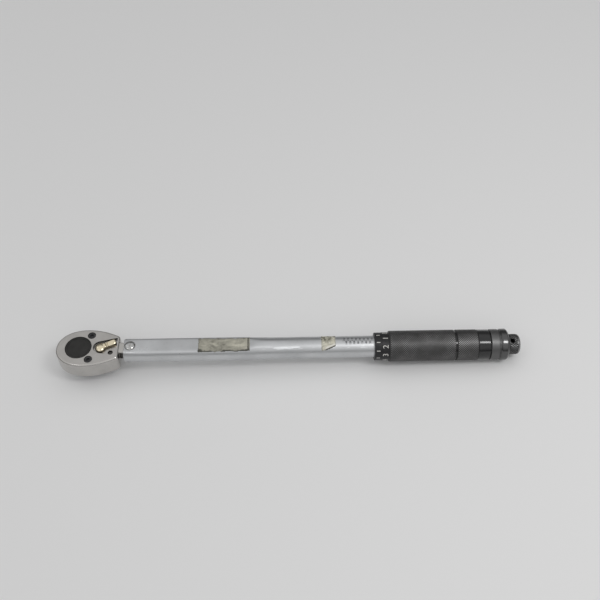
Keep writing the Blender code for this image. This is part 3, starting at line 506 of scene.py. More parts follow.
def make_finishes(scene):
    """Makes every finish of the wrench, by its short name."""
    tones = scene.wrench_finishes
    head, tube, handle = scene.wrench_head, scene.wrench_tube, scene.wrench_handle
    grip_low = handle.grip_radius - handle.knurl_depth
    knob_low = handle.knob_radius - knob_knurl_depth(handle)
    metal = tones.gunmetal
    FINISHES.update(
        head=satin_head(tones.satin, head, tube),
        chrome=worn_tube(shade(tones.chrome, 1.03), tube),
        lever=greased_lever(tones.warm, head),
        rivet=worn_rivet(shade(tones.chrome, 1.04)),
        disc=turned_black("disc_charcoal", tones.charcoal, 0.48, 9000.0),
        screw=black_oxide("screw_black", shade(tones.black, 2.0), 0.36),
        dial=black_oxide("dial_black", tones.black, 0.38, 0.5),
        grip=knurled_metal("grip_knurl", tones.grip, grip_low, handle.grip_radius),
        groove=black_oxide("groove_black", shade(tones.black, 0.3), 0.65, 0.2),
        band=gloss_black(shade(tones.black, 0.5)),
        seat=black_oxide("ring_seat", shade(metal, 0.5), 0.42, 0.9),
        ring=plated("ring_satin", shade(metal, 0.92), 0.40, 0.10, (1.0, 0.1, 0.1), 0.2),
        cap=plated("cap_polish", shade(metal, 0.75), 0.14, 0.08, dirt=0.2),
        knob=knurled_metal("knob_knurl", shade(metal, 1.1), knob_low, handle.knob_radius, 0.38, 3.4),
        knob_edge=plated("knob_edge", shade(metal, 1.6), 0.22, 0.08),
        steel=plated("bare_steel", tones.steel, 0.26, 0.14),
        spring=plated("spring_steel", shade(tones.steel, 0.45), 0.32, 0.12),
        brass=plated("nut_brass", tones.brass, 0.28, 0.12),
        paint=flat_paint("mark_paint", tones.paint, 0.25),
        ink=flat_paint("scale_ink", tones.ink, 0.4),
        label=worn_paper("label_paper", shade(tones.paper, 1.12), 0.92, 0.0, 0.85),
        tape=worn_paper("tape_paper", shade(tones.paper, 1.8), 0.4, 0.9, 0.4),
    )


def turn_into_piece(name, shape, finishes, body, nodes, sharp=32.0, even=False):
    """Moves a shape from the tube's axis to its place and makes it a piece of the wrench."""
    shift(shape, (0.0, 0.0, AXIS_LEVEL))
    mesh = bpy.data.meshes.new(name)
    shape.to_mesh(mesh)
    shape.free()
    for finish in finishes:
        mesh.materials.append(FINISHES[finish].material)
    mesh.shade_smooth()
    mesh.set_sharp_from_angle(angle=math.radians(sharp))
    piece = bpy.data.objects.new(name, mesh)
    bpy.context.scene.collection.objects.link(piece)
    if even:
        weighted = piece.modifiers.new("even_shading", "WEIGHTED_NORMAL")
        weighted.keep_sharp = True
        weighted.weight = 100
    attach(piece, body)
    if nodes:
        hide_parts(*nodes)
    return piece


def clean(shape, reach=1e-6):
    """Merges points that lie together and turns the faces outwards."""
    bmesh.ops.remove_doubles(shape, verts=shape.verts, dist=reach)
    bmesh.ops.recalc_face_normals(shape, faces=shape.faces)
    return shape


def rounding(first, corner, last, steps):
    """Points on the curve that rounds a corner from one point to another."""
    shares = [k / steps for k in range(steps + 1)]
    return [tuple(first * (1 - u) ** 2 + corner * 2 * u * (1 - u) + last * u**2) for u in shares]


def soften(points, steps=4):
    """Rounds the corners of a profile: a third value on a point is its corner's reach."""
    made = []
    for i, point in enumerate(points):
        here = Vector(point[:2])
        reach = point[2] if len(point) > 2 else 0.0
        if not reach:
            made.append(tuple(here))
            continue
        before = Vector(points[i - 1][:2])
        after = Vector(points[(i + 1) % len(points)][:2])
        first = here + (before - here).normalized() * reach
        last = here + (after - here).normalized() * reach
        made.extend(rounding(first, here, last, steps))
    return made


def spun(profile, steps=96, upright=False, closed=False, corner_steps=4):
    """Turns a softened profile of (station, radius) points about X, or about Z where upright."""
    shape = bmesh.new()
    corners = []
    for station, radius in soften(profile, corner_steps):
        spot = (radius, 0.0, station) if upright else (station, radius, 0.0)
        corners.append(shape.verts.new(spot))
    edges = [shape.edges.new(pair) for pair in zip(corners, corners[1:])]
    if closed:
        edges.append(shape.edges.new((corners[-1], corners[0])))
    bmesh.ops.spin(
        shape,
        geom=corners + edges,
        cent=(0.0, 0.0, 0.0),
        axis=(0.0, 0.0, 1.0) if upright else (1.0, 0.0, 0.0),
        angle=math.tau,
        steps=steps,
        use_merge=True,
    )
    return clean(shape)


def prism(outline, low, high):
    """A flat outline given thickness between two levels."""
    shape = bmesh.new()
    floor = shape.faces.new([shape.verts.new((x, y, low)) for x, y in outline])
    grown = bmesh.ops.extrude_face_region(shape, geom=[floor])["geom"]
    top = [part for part in grown if isinstance(part, bmesh.types.BMVert)]
    bmesh.ops.translate(shape, vec=(0.0, 0.0, high - low), verts=top)
    return clean(shape)


def bar(start, end, radius, sides=48):
    """A round bar from one point to another."""
    start, end = Vector(start), Vector(end)
    way = end - start
    pose = Matrix.Translation((start + end) / 2)
    pose = pose @ way.to_track_quat("Z", "Y").to_matrix().to_4x4()
    shape = bmesh.new()
    bmesh.ops.create_cone(
        shape,
        cap_ends=True,
        segments=sides,
        radius1=radius,
        radius2=radius,
        depth=way.length,
        matrix=pose,
    )
    return clean(shape)


def post(along, across, low, high, radius, sides=64):
    """An upright bar between two levels."""
    return bar((along, across, low), (along, across, high), radius, sides=sides)


def block(low, high, far_scale=1.0):
    """A box between two corners. far_scale narrows its far end."""
    low, high = Vector(low), Vector(high)
    shape = bmesh.new()
    bmesh.ops.create_cube(shape, size=1.0)
    bmesh.ops.scale(shape, vec=high - low, verts=shape.verts)
    bmesh.ops.translate(shape, vec=(low + high) / 2, verts=shape.verts)
    far = [v for v in shape.verts if v.co.x > (low.x + high.x) / 2]
    bmesh.ops.scale(shape, vec=(1.0, far_scale, far_scale), verts=far)
    return shape


def ease(shape, edges, width, segments):
    """Rounds edges of a shape."""
    bmesh.ops.bevel(
        shape,
        geom=list(edges),
        offset=width,
        offset_type="OFFSET",
        segments=segments,
        profile=0.5,
        affect="EDGES",
        clamp_overlap=True,
        material=-1,
    )
    return shape


def coil(start, end, radius, wire, turns):
    """A round wire wound about the line from one point to another."""
    start, end = Vector(start), Vector(end)
    way = (end - start).normalized()
    side = way.orthogonal().normalized()
    pose = Matrix((way, side, way.cross(side))).transposed().to_4x4()
    pose.translation = start + way * wire / 2 + side * radius
    shape = bmesh.new()
    bmesh.ops.create_circle(shape, cap_ends=True, segments=12, radius=wire / 2, matrix=pose)
    steps = 24 * turns
    bmesh.ops.spin(
        shape,
        geom=[*shape.verts, *shape.edges, *shape.faces],
        cent=start,
        axis=way,
        dvec=(end - start - way * wire) / steps,
        angle=math.tau * turns,
        steps=steps,
    )
    return clean(shape)


def corners_over(shape, degrees, test):
    """The edges whose faces turn by more than an angle and that pass a test."""
    limit = math.radians(degrees)
    pairs = [edge for edge in shape.edges if len(edge.link_faces) == 2]
    return [edge for edge in pairs if edge.calc_face_angle(0.0) > limit and test(edge)]


def above(level):
    """A test for edges that lie above a level."""
    return lambda edge: min(corner.co.z for corner in edge.verts) > level


def below(level):
    """A test for edges that lie below a level."""
    return lambda edge: max(corner.co.z for corner in edge.verts) < level


def run_of(edge, axis):
    """How far an edge goes along an axis: 0 for X, 1 for Y, 2 for Z."""
    return abs(edge.verts[0].co[axis] - edge.verts[1].co[axis])


def long_edges(shape, axis):
    """The edges that run along an axis for more than 4 mm."""
    return [edge for edge in shape.edges if run_of(edge, axis) > 0.004]


def shift(shape, way):
    """Moves a shape."""
    bmesh.ops.translate(shape, vec=way, verts=shape.verts)


def swing(shape, radians, axis):
    """Turns a shape about an axis through the origin."""
    pose = Matrix.Rotation(radians, 3, axis)
    bmesh.ops.rotate(shape, cent=(0.0, 0.0, 0.0), matrix=pose, verts=shape.verts)


def combine(shape, operation, others):
    """Cuts or joins shapes with a Boolean and gives back one shape."""
    scene = bpy.context.scene
    made = []
    for part in (shape, *others):
        mesh = bpy.data.meshes.new("work")
        part.to_mesh(mesh)
        part.free()
        obj = bpy.data.objects.new("work", mesh)
        scene.collection.objects.link(obj)
        made.append(obj)
    base = made[0]
    for other in made[1:]:
        boolean = base.modifiers.new("work", "BOOLEAN")
        boolean.operation = operation
        boolean.solver = "EXACT"
        boolean.object = other
    bpy.context.view_layer.update()
    graph = bpy.context.evaluated_depsgraph_get()
    mesh = bpy.data.meshes.new_from_object(base.evaluated_get(graph))
    result = bmesh.new()
    result.from_mesh(mesh)
    bpy.data.meshes.remove(mesh)
    for obj in made:
        data = obj.data
        bpy.data.objects.remove(obj, do_unlink=True)
        bpy.data.meshes.remove(data)
    bmesh.ops.dissolve_degenerate(result, edges=result.edges, dist=1e-6)
    return clean(result)


def carve(shape, *others):
    """Cuts shapes out of a shape."""
    return combine(shape, "DIFFERENCE", others)


def weld(shape, *others):
    """Joins shapes to a shape."""
    return combine(shape, "UNION", others)


def lever_shaft(head):
    """Radius of the lever's shaft."""
    return 0.48 * head.lever_boss


def hub_radius(head):
    """Radius of the round hub over the square."""
    return 0.76 * head.square


def pawl_level(head):
    """Height of the pawl's plunger over the tube's axis."""
    return head.rise - head.thickness / 2 - 0.0015


def ball_level(head):
    """Height of the sprung ball over the tube's axis."""
    return head.rise - head.thickness - 0.6 * head.square_reach


def knob_knurl_depth(handle):
    """Depth of the lock knob's knurl, which is coarser than the grip's."""
    return 1.6 * handle.knurl_depth


def head_outline(head, inset=0.0, shoulder=None):
    """The pear outline: a full nose, then flanks that draw in to the shoulder."""
    shoulder = shoulder or head.shoulder
    half = head.width / 2 - inset
    reach = head.nose + head.widest - inset
    drop = (head.width - head.shoulder_width) / 2
    run = head.shoulder - head.widest
    corner = 0.0028
    upper = []
    for i in range(1, 41):
        turn = math.radians(180.0 - 90.0 * i / 40)
        x = head.widest - reach * abs(math.cos(turn)) ** (2 / 2.1)
        upper.append((x, half * math.sin(turn) ** (2 / 2.1)))

    def flank(x):
        return half - drop * ((x - head.widest) / run) ** 2

    for i in range(1, 15):
        x = head.widest + (shoulder - corner - head.widest) * i / 14
        upper.append((x, flank(x)))
    first = Vector(upper[-1])
    tip = Vector((shoulder, flank(shoulder)))
    last = Vector((shoulder, flank(shoulder) - corner))
    upper += rounding(first, tip, last, 7)[1:]
    lower = [(x, -y) for x, y in reversed(upper)]
    return [(head.widest - reach, 0.0), *upper, *lower]


def arc(radius, first, last, count, along=0.0):
    """Points on an arc about a point on the middle line."""
    turns = [first + (last - first) * i / (count - 1) for i in range(count)]
    return [(along + radius * math.cos(turn), radius * math.sin(turn)) for turn in turns]


def neck_parts(head, tube):
    """The neck, the rivet's boss and the arm that runs inside the tube."""
    tall = tube.flat - tube.wall - 0.0004
    neck_half = 0.006
    neck_low = (head.shoulder - 0.006, -neck_half, 0.0002 - tall)
    neck = block(neck_low, (tube.pivot, neck_half, tall - 0.0002))
    ease(neck, long_edges(neck, 0), 0.0011, 4)
    arm_half, arm_end_half = tall - 0.0003, 0.0045
    arm_low = (tube.pivot + 0.002, -arm_half, -arm_half)
    arm = block(arm_low, (ARM_END, arm_half, arm_half), arm_end_half / arm_half)
    boss = math.sqrt((tube.pressed - tube.wall) ** 2 - tall**2) - PLAY
    return neck, post(tube.pivot, 0.0, -tall, tall, boss), arm


def recess_outline(head, end):
    """The fan-shaped recess: round about the lever's pivot, with straight sides to its far end."""
    half_end = 0.43 * head.shoulder_width
    room = head.lever_boss + 0.0018
    slope = math.atan2(half_end - room, end - head.lever_along)
    round_part = arc(room, math.pi / 2 + slope, 1.5 * math.pi - slope, 33, head.lever_along)
    corner = [(end, -half_end, 0.0012), (end, half_end, 0.0012)]
    return soften([*round_part, *corner], 5)


class WRENCH_OT_head(bpy.types.Operator):
    """Builds the ratchet head with its recess, screw seats, neck and hidden arm"""

    bl_idname = "wrench.head"
    bl_label = "Ratchet head"

    def execute(self, context):
        head = context.scene.wrench_head
        tube = context.scene.wrench_tube
        low, high = head.rise - head.thickness, head.rise
        chamber = high - 0.0038
        body = prism(head_outline(head), low, high)
        rims = corners_over(body, 60.0, lambda edge: run_of(edge, 2) < 1e-6)
        ease(body, rims, head.rim, 6)
        body = weld(body, *neck_parts(head, tube))
        deep, over = low - OVERCUT, high + OVERCUT
        recess_end = head.shoulder - 0.0025
        sweep, pocket_outer, pocket_inner = math.radians(26.5), 0.0191, 0.0131
        pocket = arc(pocket_outer, -sweep, sweep, 25) + arc(pocket_inner, sweep, -sweep, 17)
        shaft = lever_shaft(head)
        cuts = [
            post(tube.pivot, 0.0, deep, over, 0.0043),
            post(0.0, 0.0, deep, over, head.disc + PLAY, 96),
            post(0.0, 0.0, deep, chamber, head.disc + 0.0020, 96),
            prism(head_outline(head, 0.0029, recess_end - 0.0085), deep, low + 0.0028),
            prism(pocket, deep, chamber),
            post(head.lever_along, 0.0, deep, chamber, shaft + 0.0018),
            prism(recess_outline(head, recess_end), high - head.recess, over),
            post(head.lever_along, 0.0, deep, over, shaft + PLAY),
        ]
        dimple_reach = 0.0115
        for side in (1.0, -1.0):
            across = side * dimple_reach * math.sin(head.lever_angle)
            along = head.lever_along + dimple_reach * math.cos(head.lever_angle)
            cuts.append(post(along, across, high - head.recess - 0.0016, over, head.dimple, 48))
            screw = (head.screw_along, side * head.screw_across)
            cuts.append(post(*screw, deep, over, 0.0023, 40))
            cuts.append(post(*screw, chamber + 0.0011, over, head.screw_radius + PLAY))
        body = carve(body, *cuts)
        ease(body, corners_over(body, 50.0, above(head.rise - 0.0031)), 0.00016, 2)
        turn_into_piece("head_shell", body, ["head"], "head", ["head_body"], even=True)
        return {"FINISHED"}


def dark_disc(head):
    """The turned disc in the top of the head."""
    high = head.rise
    face = high - 0.0002
    profile = [
        (face - 0.00012, 0.0),
        (face - 0.00012, 0.83 * head.disc),
        (face - 0.0003, 0.835 * head.disc),
        (face - 0.0003, 0.845 * head.disc),
        (face, 0.85 * head.disc),
        (face, head.disc, 0.0004),
        (high - 0.0015, head.disc),
        (high - 0.0015, 0.004),
        (high - 0.0031, 0.004),
        (high - 0.0031, 0.0),
    ]
    disc = spun(profile, 128, upright=True)
    turn_into_piece("head_disc", disc, ["disc"], "drive", ["back_disc"])


def socket_screw(head, name, side):
    """One of the two socket screws. side is 1 for the far one and -1 for the near one."""
    low, high = head.rise - head.thickness, head.rise
    seat, top, stem = high - 0.0024, high - 0.0004, 0.0020
    profile = [
        (top, 0.0),
        (top, head.screw_radius, 0.0005),
        (seat, head.screw_radius),
        (seat, stem),
        (low + 0.0003, stem, 0.0003),
        (low + 0.0003, 0.0),
    ]
    socket = post(0.0, 0.0, top - 0.0015, top + 0.001, 0.0021, 6)
    screw = carve(spun(profile, 64, upright=True), socket)
    rims = corners_over(screw, 50.0, lambda edge: edge.verts[0].co.z > top - 0.0002)
    ease(screw, rims, 0.0001, 2)
    shift(screw, (head.screw_along, side * head.screw_across, 0.0))
    nodes = ["cover_screw_" + name]
    turn_into_piece("socket_screw_" + name, screw, ["screw"], "head", nodes, even=True)


def underside_plate(head):
    """The plate that closes the underside of the head."""
    low = head.rise - head.thickness
    plate = prism(head_outline(head, 0.0032, head.shoulder - 0.0113), low + 0.0001, low + 0.0025)
    ease(plate, corners_over(plate, 60.0, below(low + 0.0004)), 0.0004, 3)
    deep, over = low - OVERCUT, low + 2.0 * OVERCUT
    holes = [
        post(0.0, 0.0, deep, over, hub_radius(head) + PLAY, 96),
        post(head.lever_along, 0.0, low + 0.0008, over, lever_shaft(head) + PLAY),
        post(head.screw_along, head.screw_across, deep, over, 0.0022, 40),
        post(head.screw_along, -head.screw_across, deep, over, 0.0022, 40),
    ]
    plate = carve(plate, *holes)
    turn_into_piece("underside_plate", plate, ["steel"], "head", ["cover_plate"], even=True)


class WRENCH_OT_fittings(bpy.types.Operator):
    """Builds the dark disc, the socket screws and the plate under the head"""

    bl_idname = "wrench.fittings"
    bl_label = "Disc, screws and plate"

    def execute(self, context):
        head = context.scene.wrench_head
        dark_disc(head)
        socket_screw(head, "far", 1.0)
        socket_screw(head, "near", -1.0)
        underside_plate(head)
        return {"FINISHED"}


class WRENCH_OT_lever(bpy.types.Operator):
    """Builds the polished reversing lever with its domed boss and raised thumb tab"""

    bl_idname = "wrench.lever"
    bl_label = "Reversing lever"

    def execute(self, context):
        head = context.scene.wrench_head
        floor = head.rise - head.recess + PLAY
        top = head.rise + 0.0015
        clip_low = head.rise - 0.0051
        clip_high = clip_low + 0.0009
        foot = head.rise - head.thickness + 0.0011
        shaft = lever_shaft(head)
        groove = 0.8 * shaft
        boss = [
            (top, 0.0),
            (top - 0.00015, 0.28 * head.lever_boss),
            (top - 0.00045, 0.50 * head.lever_boss),
            (top - 0.0010, 0.72 * head.lever_boss),
            (top - 0.0018, 0.90 * head.lever_boss),
            (top - 0.0027, head.lever_boss, 0.0005),
            (floor, head.lever_boss, 0.0002),
            (floor, shaft),
            (clip_high, shaft),
            (clip_high, groove),
            (clip_low, groove),
            (clip_low, shaft),
            (foot, shaft),
            (foot, 0.0),
        ]
        reach = head.lever_reach
        sides = ((0.15, 0.56), (0.45, 0.56), (0.62, 0.62), (0.80, 0.62), (0.90, 0.58))
        tip = ((0.96, 0.48), (0.99, 0.32), (1.0, 0.14))
        upper = [(r * reach, w * head.lever_boss) for r, w in (*sides, *tip)]
        tab = prism([*upper, *[(x, -y) for x, y in reversed(upper)]], floor + 0.0001, head.rise + 0.0010)
        ease(tab, corners_over(tab, 40.0, above(head.rise)), 0.0016, 7)
        lever = weld(spun(boss, upright=True), tab)
        waist, crest = 0.40 * reach, top + 0.0001
        notch = bar((waist, -0.006, crest), (waist, 0.006, crest), 0.0016)
        level = pawl_level(head)
        bore = bar((-0.008, 0.0, level), (shaft - 0.0006, 0.0, level), 0.0012, sides=32)
        lever = carve(lever, notch, bore)
        ease(lever, corners_over(lever, 45.0, above(floor + 0.0003)), 0.0002, 2)
        swing(lever, head.lever_angle, "Z")
        shift(lever, (head.lever_along, 0.0, 0.0))
        nodes = ["reversing_lever"]
        turn_into_piece("polished_lever", lever, ["lever"], "lever", nodes, even=True)
        return {"FINISHED"}


class WRENCH_OT_drive(bpy.types.Operator):
    """Builds the gear with its half-inch square and the sprung ball"""

    bl_idname = "wrench.drive"
    bl_label = "Square drive"

    def execute(self, context):
        head = context.scene.wrench_head
        low = head.rise - head.thickness
        tip = low - head.square_reach
        half = head.square / 2
        gear_low, gear_high = low + 0.0031, head.rise - 0.0041
        root = head.disc + 0.0002
        tooth = root + 0.0014
        teeth = 40
        outline = []
        for i in range(teeth):
            for share, radius in ((-0.5, root), (-0.1, tooth), (0.1, tooth)):
                turn = (i + share) * math.tau / teeth
                outline.append((radius * math.cos(turn), radius * math.sin(turn)))
        gear = prism(outline, gear_low, gear_high)
        square = block((-half, -half, tip), (half, half, low + 0.0005))
        ease(square, long_edges(square, 2), 0.0009, 4)
        ease(square, corners_over(square, 60.0, below(tip + 0.0002)), SQUARE_EASE, 3)
        hub = [
            (gear_low + 0.002, 0.0),
            (gear_low + 0.002, hub_radius(head)),
            (low - 0.001, hub_radius(head), 0.0005),
            (low - 0.001, 0.0),
        ]
        neck = post(0.0, 0.0, gear_high - 0.002, gear_high + 0.0023, head.disc, 96)
        gear = weld(gear, neck, spun(hub, upright=True), square)
        level = ball_level(head)
        spring_hole = bar((0.0, -head.square, level), (0.0, 0.00284, level), 0.0022)
        gear = carve(gear, spring_hole, post(0.0, 0.0, gear_high + 0.0007, gear_high + 0.0043, 0.0043))
        turn_into_piece("drive_square", gear, ["steel"], "drive", ["drive_gear"], even=True)
        ball = bmesh.new()
        size, proud = 0.0020, 0.0012
        spot = Matrix.Translation((0.0, size - proud - half, level))
        bmesh.ops.create_uvsphere(ball, u_segments=40, v_segments=24, radius=size, matrix=spot)
        turn_into_piece("sprung_ball", ball, ["steel"], "drive_ball", ["drive_ball"])
        return {"FINISHED"}


def tube_reach(tube, station, turn, inset=0.0):
    """Distance from the axis to the tube's skin at a station and a turn from the top."""
    share = min(max((station - tube.flat_end) / tube.run_out, 0.0), 1.0)
    share = share * share * (3.0 - 2.0 * share)
    round_part = tube.pressed + (tube.radius - tube.pressed) * share - inset
    flat_rise = 0.0048
    flat_part = tube.flat + flat_rise * share - inset
    lean = max(abs(math.cos(turn)), 1e-4)
    sharpness = 26.0
    return (round_part**-sharpness + (flat_part / lean) ** -sharpness) ** (-1.0 / sharpness)


def wrapped_grid(rows, columns, put):
    """A grid whose corner in row i and column j is put where put(i, j) says."""
    shape = bmesh.new()
    bmesh.ops.create_grid(shape, x_segments=rows - 1, y_segments=columns - 1, size=1.0)
    for corner in shape.verts:
        i = round((corner.co.x + 1.0) / 2.0 * (rows - 1))
        j = round((corner.co.y + 1.0) / 2.0 * (columns - 1))
        corner.co = put(i, j)
    return shape


class WRENCH_OT_tube(bpy.types.Operator):
    """Builds the chrome tube with its pressed flats and the domed rivet"""

    bl_idname = "wrench.tube"
    bl_label = "Tube and rivet"

    def execute(self, context):
        tube = context.scene.wrench_tube
        run = [tube.flat_end + tube.run_out * i / 24 for i in range(25)]
        bore = [tube.end, *reversed(run), tube.front + 0.0012]
        rows = [(x, tube.wall) for x in bore]
        rows += [(tube.front + 0.0003, tube.wall - 0.0002), (tube.front, tube.wall - 0.0007)]
        rows += [(tube.front, 0.0008), (tube.front + 0.0002, 0.0003), (tube.front + 0.0008, 0.0)]
        rows += [(x, 0.0) for x in (0.06, 0.09, 0.12, *run, 0.26, 0.32, tube.end - 0.0006)]
        rows += [(tube.end, 0.0006), (tube.end, tube.wall)]
        around = 160

        def put(i, j):
            station, inset = rows[i]
            turn = math.tau * j / around
            reach = tube_reach(tube, station, turn, inset)
            return Vector((station, -reach * math.sin(turn), reach * math.cos(turn)))

        skin = clean(wrapped_grid(len(rows), around + 1, put), 1e-7)
        turn_into_piece("chrome_tube", skin, ["chrome"], "housing", ["tube_housing"], 40.0)
        under = tube.flat + 0.0002
        dome = ((1.0, 0.0), (0.98, 0.22), (0.89, 0.45), (0.72, 0.66), (0.46, 0.84), (0.20, 0.95), (0.0, 1.0))
        half = [(under + up * tube.pivot_rise, out * tube.pivot_radius) for up, out in dome]
        half.append((under, 0.0040))
        rivet = spun([*half, *[(-z, r) for z, r in reversed(half)]], upright=True)
        shift(rivet, (tube.pivot, 0.0, 0.0))
        turn_into_piece("domed_rivet", rivet, ["rivet"], "housing", ["pivot_pin"])
        return {"FINISHED"}


def stuck_sheet(name, tube, start, end, far, near, finish, rag, torn_from=2.0):
    """A worn sheet stuck round the tube. far and near give the turn of its long edges at a share
    of its length, rag is how far its edges stray, and the near edge is torn past torn_from."""
    rows, columns = 57, 33
    lift = 0.00010

    def put(i, j):
        u, v = i / (rows - 1), j / (columns - 1)
        stray = noise.noise(Vector((u * 9.0, v * 9.0, start * 50.0)))
        wander = noise.noise(Vector((u * 23.0, v * 17.0, 3.0 + start * 50.0)))
        at_end = max(0.0, 1.0 - 8.0 * min(u, 1.0 - u))
        at_side = max(0.0, 1.0 - 8.0 * min(v, 1.0 - v))
        x = start + (end - start) * u + rag * at_end * (stray + 0.5 * wander)
        turn = far(u) + (near(u) - far(u)) * v + rag / tube.flat * at_side * (wander + 0.6 * stray)
        rise = lift + 0.00006 * max(0.0, stray) + 0.00005 * max(at_end, at_side) * max(0.0, wander)
        reach = tube_reach(tube, x, turn) + rise
        return Vector((x, -reach * math.sin(turn), reach * math.cos(turn)))

    sheet = wrapped_grid(rows, columns, put)
    marks = [sheet.verts.layers.float.new(key) for key in ("edge", "along", "across", "tear")]
    wide = (end - start) * 1000.0
    for corner in sheet.verts:
        along = (corner.co.x - start) / (end - start)
        turn = math.atan2(-corner.co.y, corner.co.z)
        across = (turn - far(along)) / (near(along) - far(along))
        tall = (near(along) - far(along)) * tube.flat * 1000.0
        gap = min(min(along, 1.0 - along) * wide, min(across, 1.0 - across) * tall)
        tear = (1.0 - across) * tall if along > torn_from else 3.0
        for mark, value in zip(marks, (gap / 3.0, along, across, tear / 3.0)):
            corner[mark] = min(max(value, 0.0), 1.0)
    bmesh.ops.recalc_face_normals(sheet, faces=sheet.faces)
    outwards = Vector((0.0, 1.0, 1.0))
    if sum(face.normal.dot(face.calc_center_median() * outwards) for face in sheet.faces) < 0:
        bmesh.ops.reverse_faces(sheet, faces=sheet.faces)
    piece = turn_into_piece(name, sheet, [finish], "housing", (), 60.0)
    wall = piece.modifiers.new("thickness", "SOLIDIFY")
    wall.thickness = 0.00008
    wall.offset = -1.0


class WRENCH_OT_labels(bpy.types.Operator):
    """Sticks the worn blank label on the flat and the strip of tape on the round tube"""

    bl_idname = "wrench.labels"
    bl_label = "Worn label and tape"

    def execute(self, context):
        tube = context.scene.wrench_tube
        torn_from = 0.3

        def label_far(share):
            return math.radians(-41.0 + 4.0 * share)

        def label_near(share):
            return math.radians(49.5 - 2.0 * share)

        def tape_far(share):
            return math.radians(-62.0)

        def tape_near(share):
            return math.radians(53.0 - 22.0 * max(0.0, (share - torn_from) / (1.0 - torn_from)))

        stuck_sheet("worn_label", tube, 0.1210, 0.1730, label_far, label_near, "label", 0.0007)
        stuck_sheet("worn_tape", tube, 0.2450, 0.2594, tape_far, tape_near, "tape", 0.0005, torn_from)
        return {"FINISHED"}


def lettered(text, height, bold=0.0):
    """A number as a thin mesh in the XY plane, centred, with its own thickness."""
    curve = bpy.data.curves.new("number", "FONT")
    curve.body = text
    curve.size = height * FIGURE_SIZE
    curve.align_x = "CENTER"
    curve.align_y = "CENTER"
    curve.extrude = MARK_HALF
    curve.offset = bold
    obj = bpy.data.objects.new("number", curve)
    bpy.context.scene.collection.objects.link(obj)
    bpy.context.view_layer.update()
    graph = bpy.context.evaluated_depsgraph_get()
    mesh = bpy.data.meshes.new_from_object(obj.evaluated_get(graph))
    shape = bmesh.new()
    shape.from_mesh(mesh)
    bpy.data.objects.remove(obj, do_unlink=True)
    bpy.data.meshes.remove(mesh)
    return clean(shape)


def stroke(width, height):
    """A line as a thin bar in the XY plane, centred."""
    return clean(block((-width / 2, -height / 2, -MARK_HALF), (width / 2, height / 2, MARK_HALF)))


def wrap_mark(shape, station, turn, radius):
    """Bends a flat mark onto a cylinder about the tube's axis. Its top points to the head."""
    wide = max(abs(v.co.x) for v in shape.verts)
    for k in range(-8, 9):
        cut = k * wide / 8.5
        geom = [*shape.verts, *shape.edges, *shape.faces]
        bmesh.ops.bisect_plane(shape, geom=geom, plane_co=(cut, 0.0, 0.0), plane_no=(1.0, 0.0, 0.0))
    for corner in shape.verts:
        around = turn - corner.co.x / radius
        reach = radius + corner.co.z
        corner.co = Vector((station - corner.co.y, -reach * math.sin(around), reach * math.cos(around)))
    bmesh.ops.recalc_face_normals(shape, faces=shape.faces)
    return shape


def gather(shapes):
    """Puts several shapes into one."""
    whole = bmesh.new()
    for shape in shapes:
        mesh = bpy.data.meshes.new("part")
        shape.to_mesh(mesh)
        shape.free()
        whole.from_mesh(mesh)
        bpy.data.meshes.remove(mesh)
    return whole


class WRENCH_OT_scale(bpy.types.Operator):
    """Marks the main scale's lines and plain numbers on the tube"""

    bl_idname = "wrench.scale"
    bl_label = "Main scale"

    def execute(self, context):
        tube = context.scene.wrench_tube
        handle = context.scene.wrench_handle
        marks = []
        first = handle.dial_start - 0.0025
        thread_lead = 0.002
        for i in range(15):
            station = first - thread_lead * i
            side = -1.0 if i % 2 == 0 else 1.0
            tick = handle.scale_turn + side * math.radians(2.2)
            marks.append(wrap_mark(stroke(0.0009, 0.00034), station, tick, tube.radius))
            number = lettered(str(10 * (i + 1)), 0.0019, 0.00009)
            place = handle.scale_turn + side * math.radians(11.0)
            marks.append(wrap_mark(number, station, place, tube.radius))
        line = stroke(0.00028, 0.032)
        marks.append(wrap_mark(line, first - 0.0142, handle.scale_turn, tube.radius))
        turn_into_piece("main_scale", gather(marks), ["ink"], "housing", ())
        return {"FINISHED"}


def knurled_sleeve(start, end, radius, depth, pitch):
    """A tube of knurl diamonds: a grid with points and grooves in turn, split along its grooves."""
    around = 2 * round(math.tau * radius / pitch)
    along = 2 * max(1, round((end - start) / (1.12 * pitch)))
    shape = bmesh.new()
    bmesh.ops.create_grid(shape, x_segments=along, y_segments=around, size=1.0)
    low = []
    for corner in shape.verts:
        i = round((corner.co.x + 1.0) / 2.0 * along)
        j = round((corner.co.y + 1.0) / 2.0 * around)
        groove = (i + j) % 2 == 1
        at_end = i in (0, along)
        reach = radius - (depth if groove or at_end else 0.0)
        if groove:
            low.append(corner)
        turn = math.tau * j / around
        station = start + (end - start) * i / along
        corner.co = Vector((station, -reach * math.sin(turn), reach * math.cos(turn)))
    bmesh.ops.connect_verts(shape, verts=low)
    bmesh.ops.remove_doubles(shape, verts=shape.verts, dist=1e-7)
    return shape


def end_loop(shape, station):
    """The open edges at a station along the tube's axis."""
    rims = [edge for edge in shape.edges if edge.is_boundary]
    return [rim for rim in rims if all(abs(corner.co.x - station) < 1e-6 for corner in rim.verts)]


def draw_on(shape, loop, profile):
    """Extrudes an end loop along a profile of (station, radius) points and returns the last loop."""
    for station, radius in profile:
        grown = bmesh.ops.extrude_edge_only(shape, edges=loop)["geom"]
        loop = [part for part in grown if isinstance(part, bmesh.types.BMEdge)]
        ring = [part for part in grown if isinstance(part, bmesh.types.BMVert)]
        loop = [edge for edge in loop if edge.is_boundary]
        for corner in ring:
            out = Vector((0.0, corner.co.y, corner.co.z)).normalized()
            corner.co = Vector((station, out.y * radius, out.z * radius))
    return loop


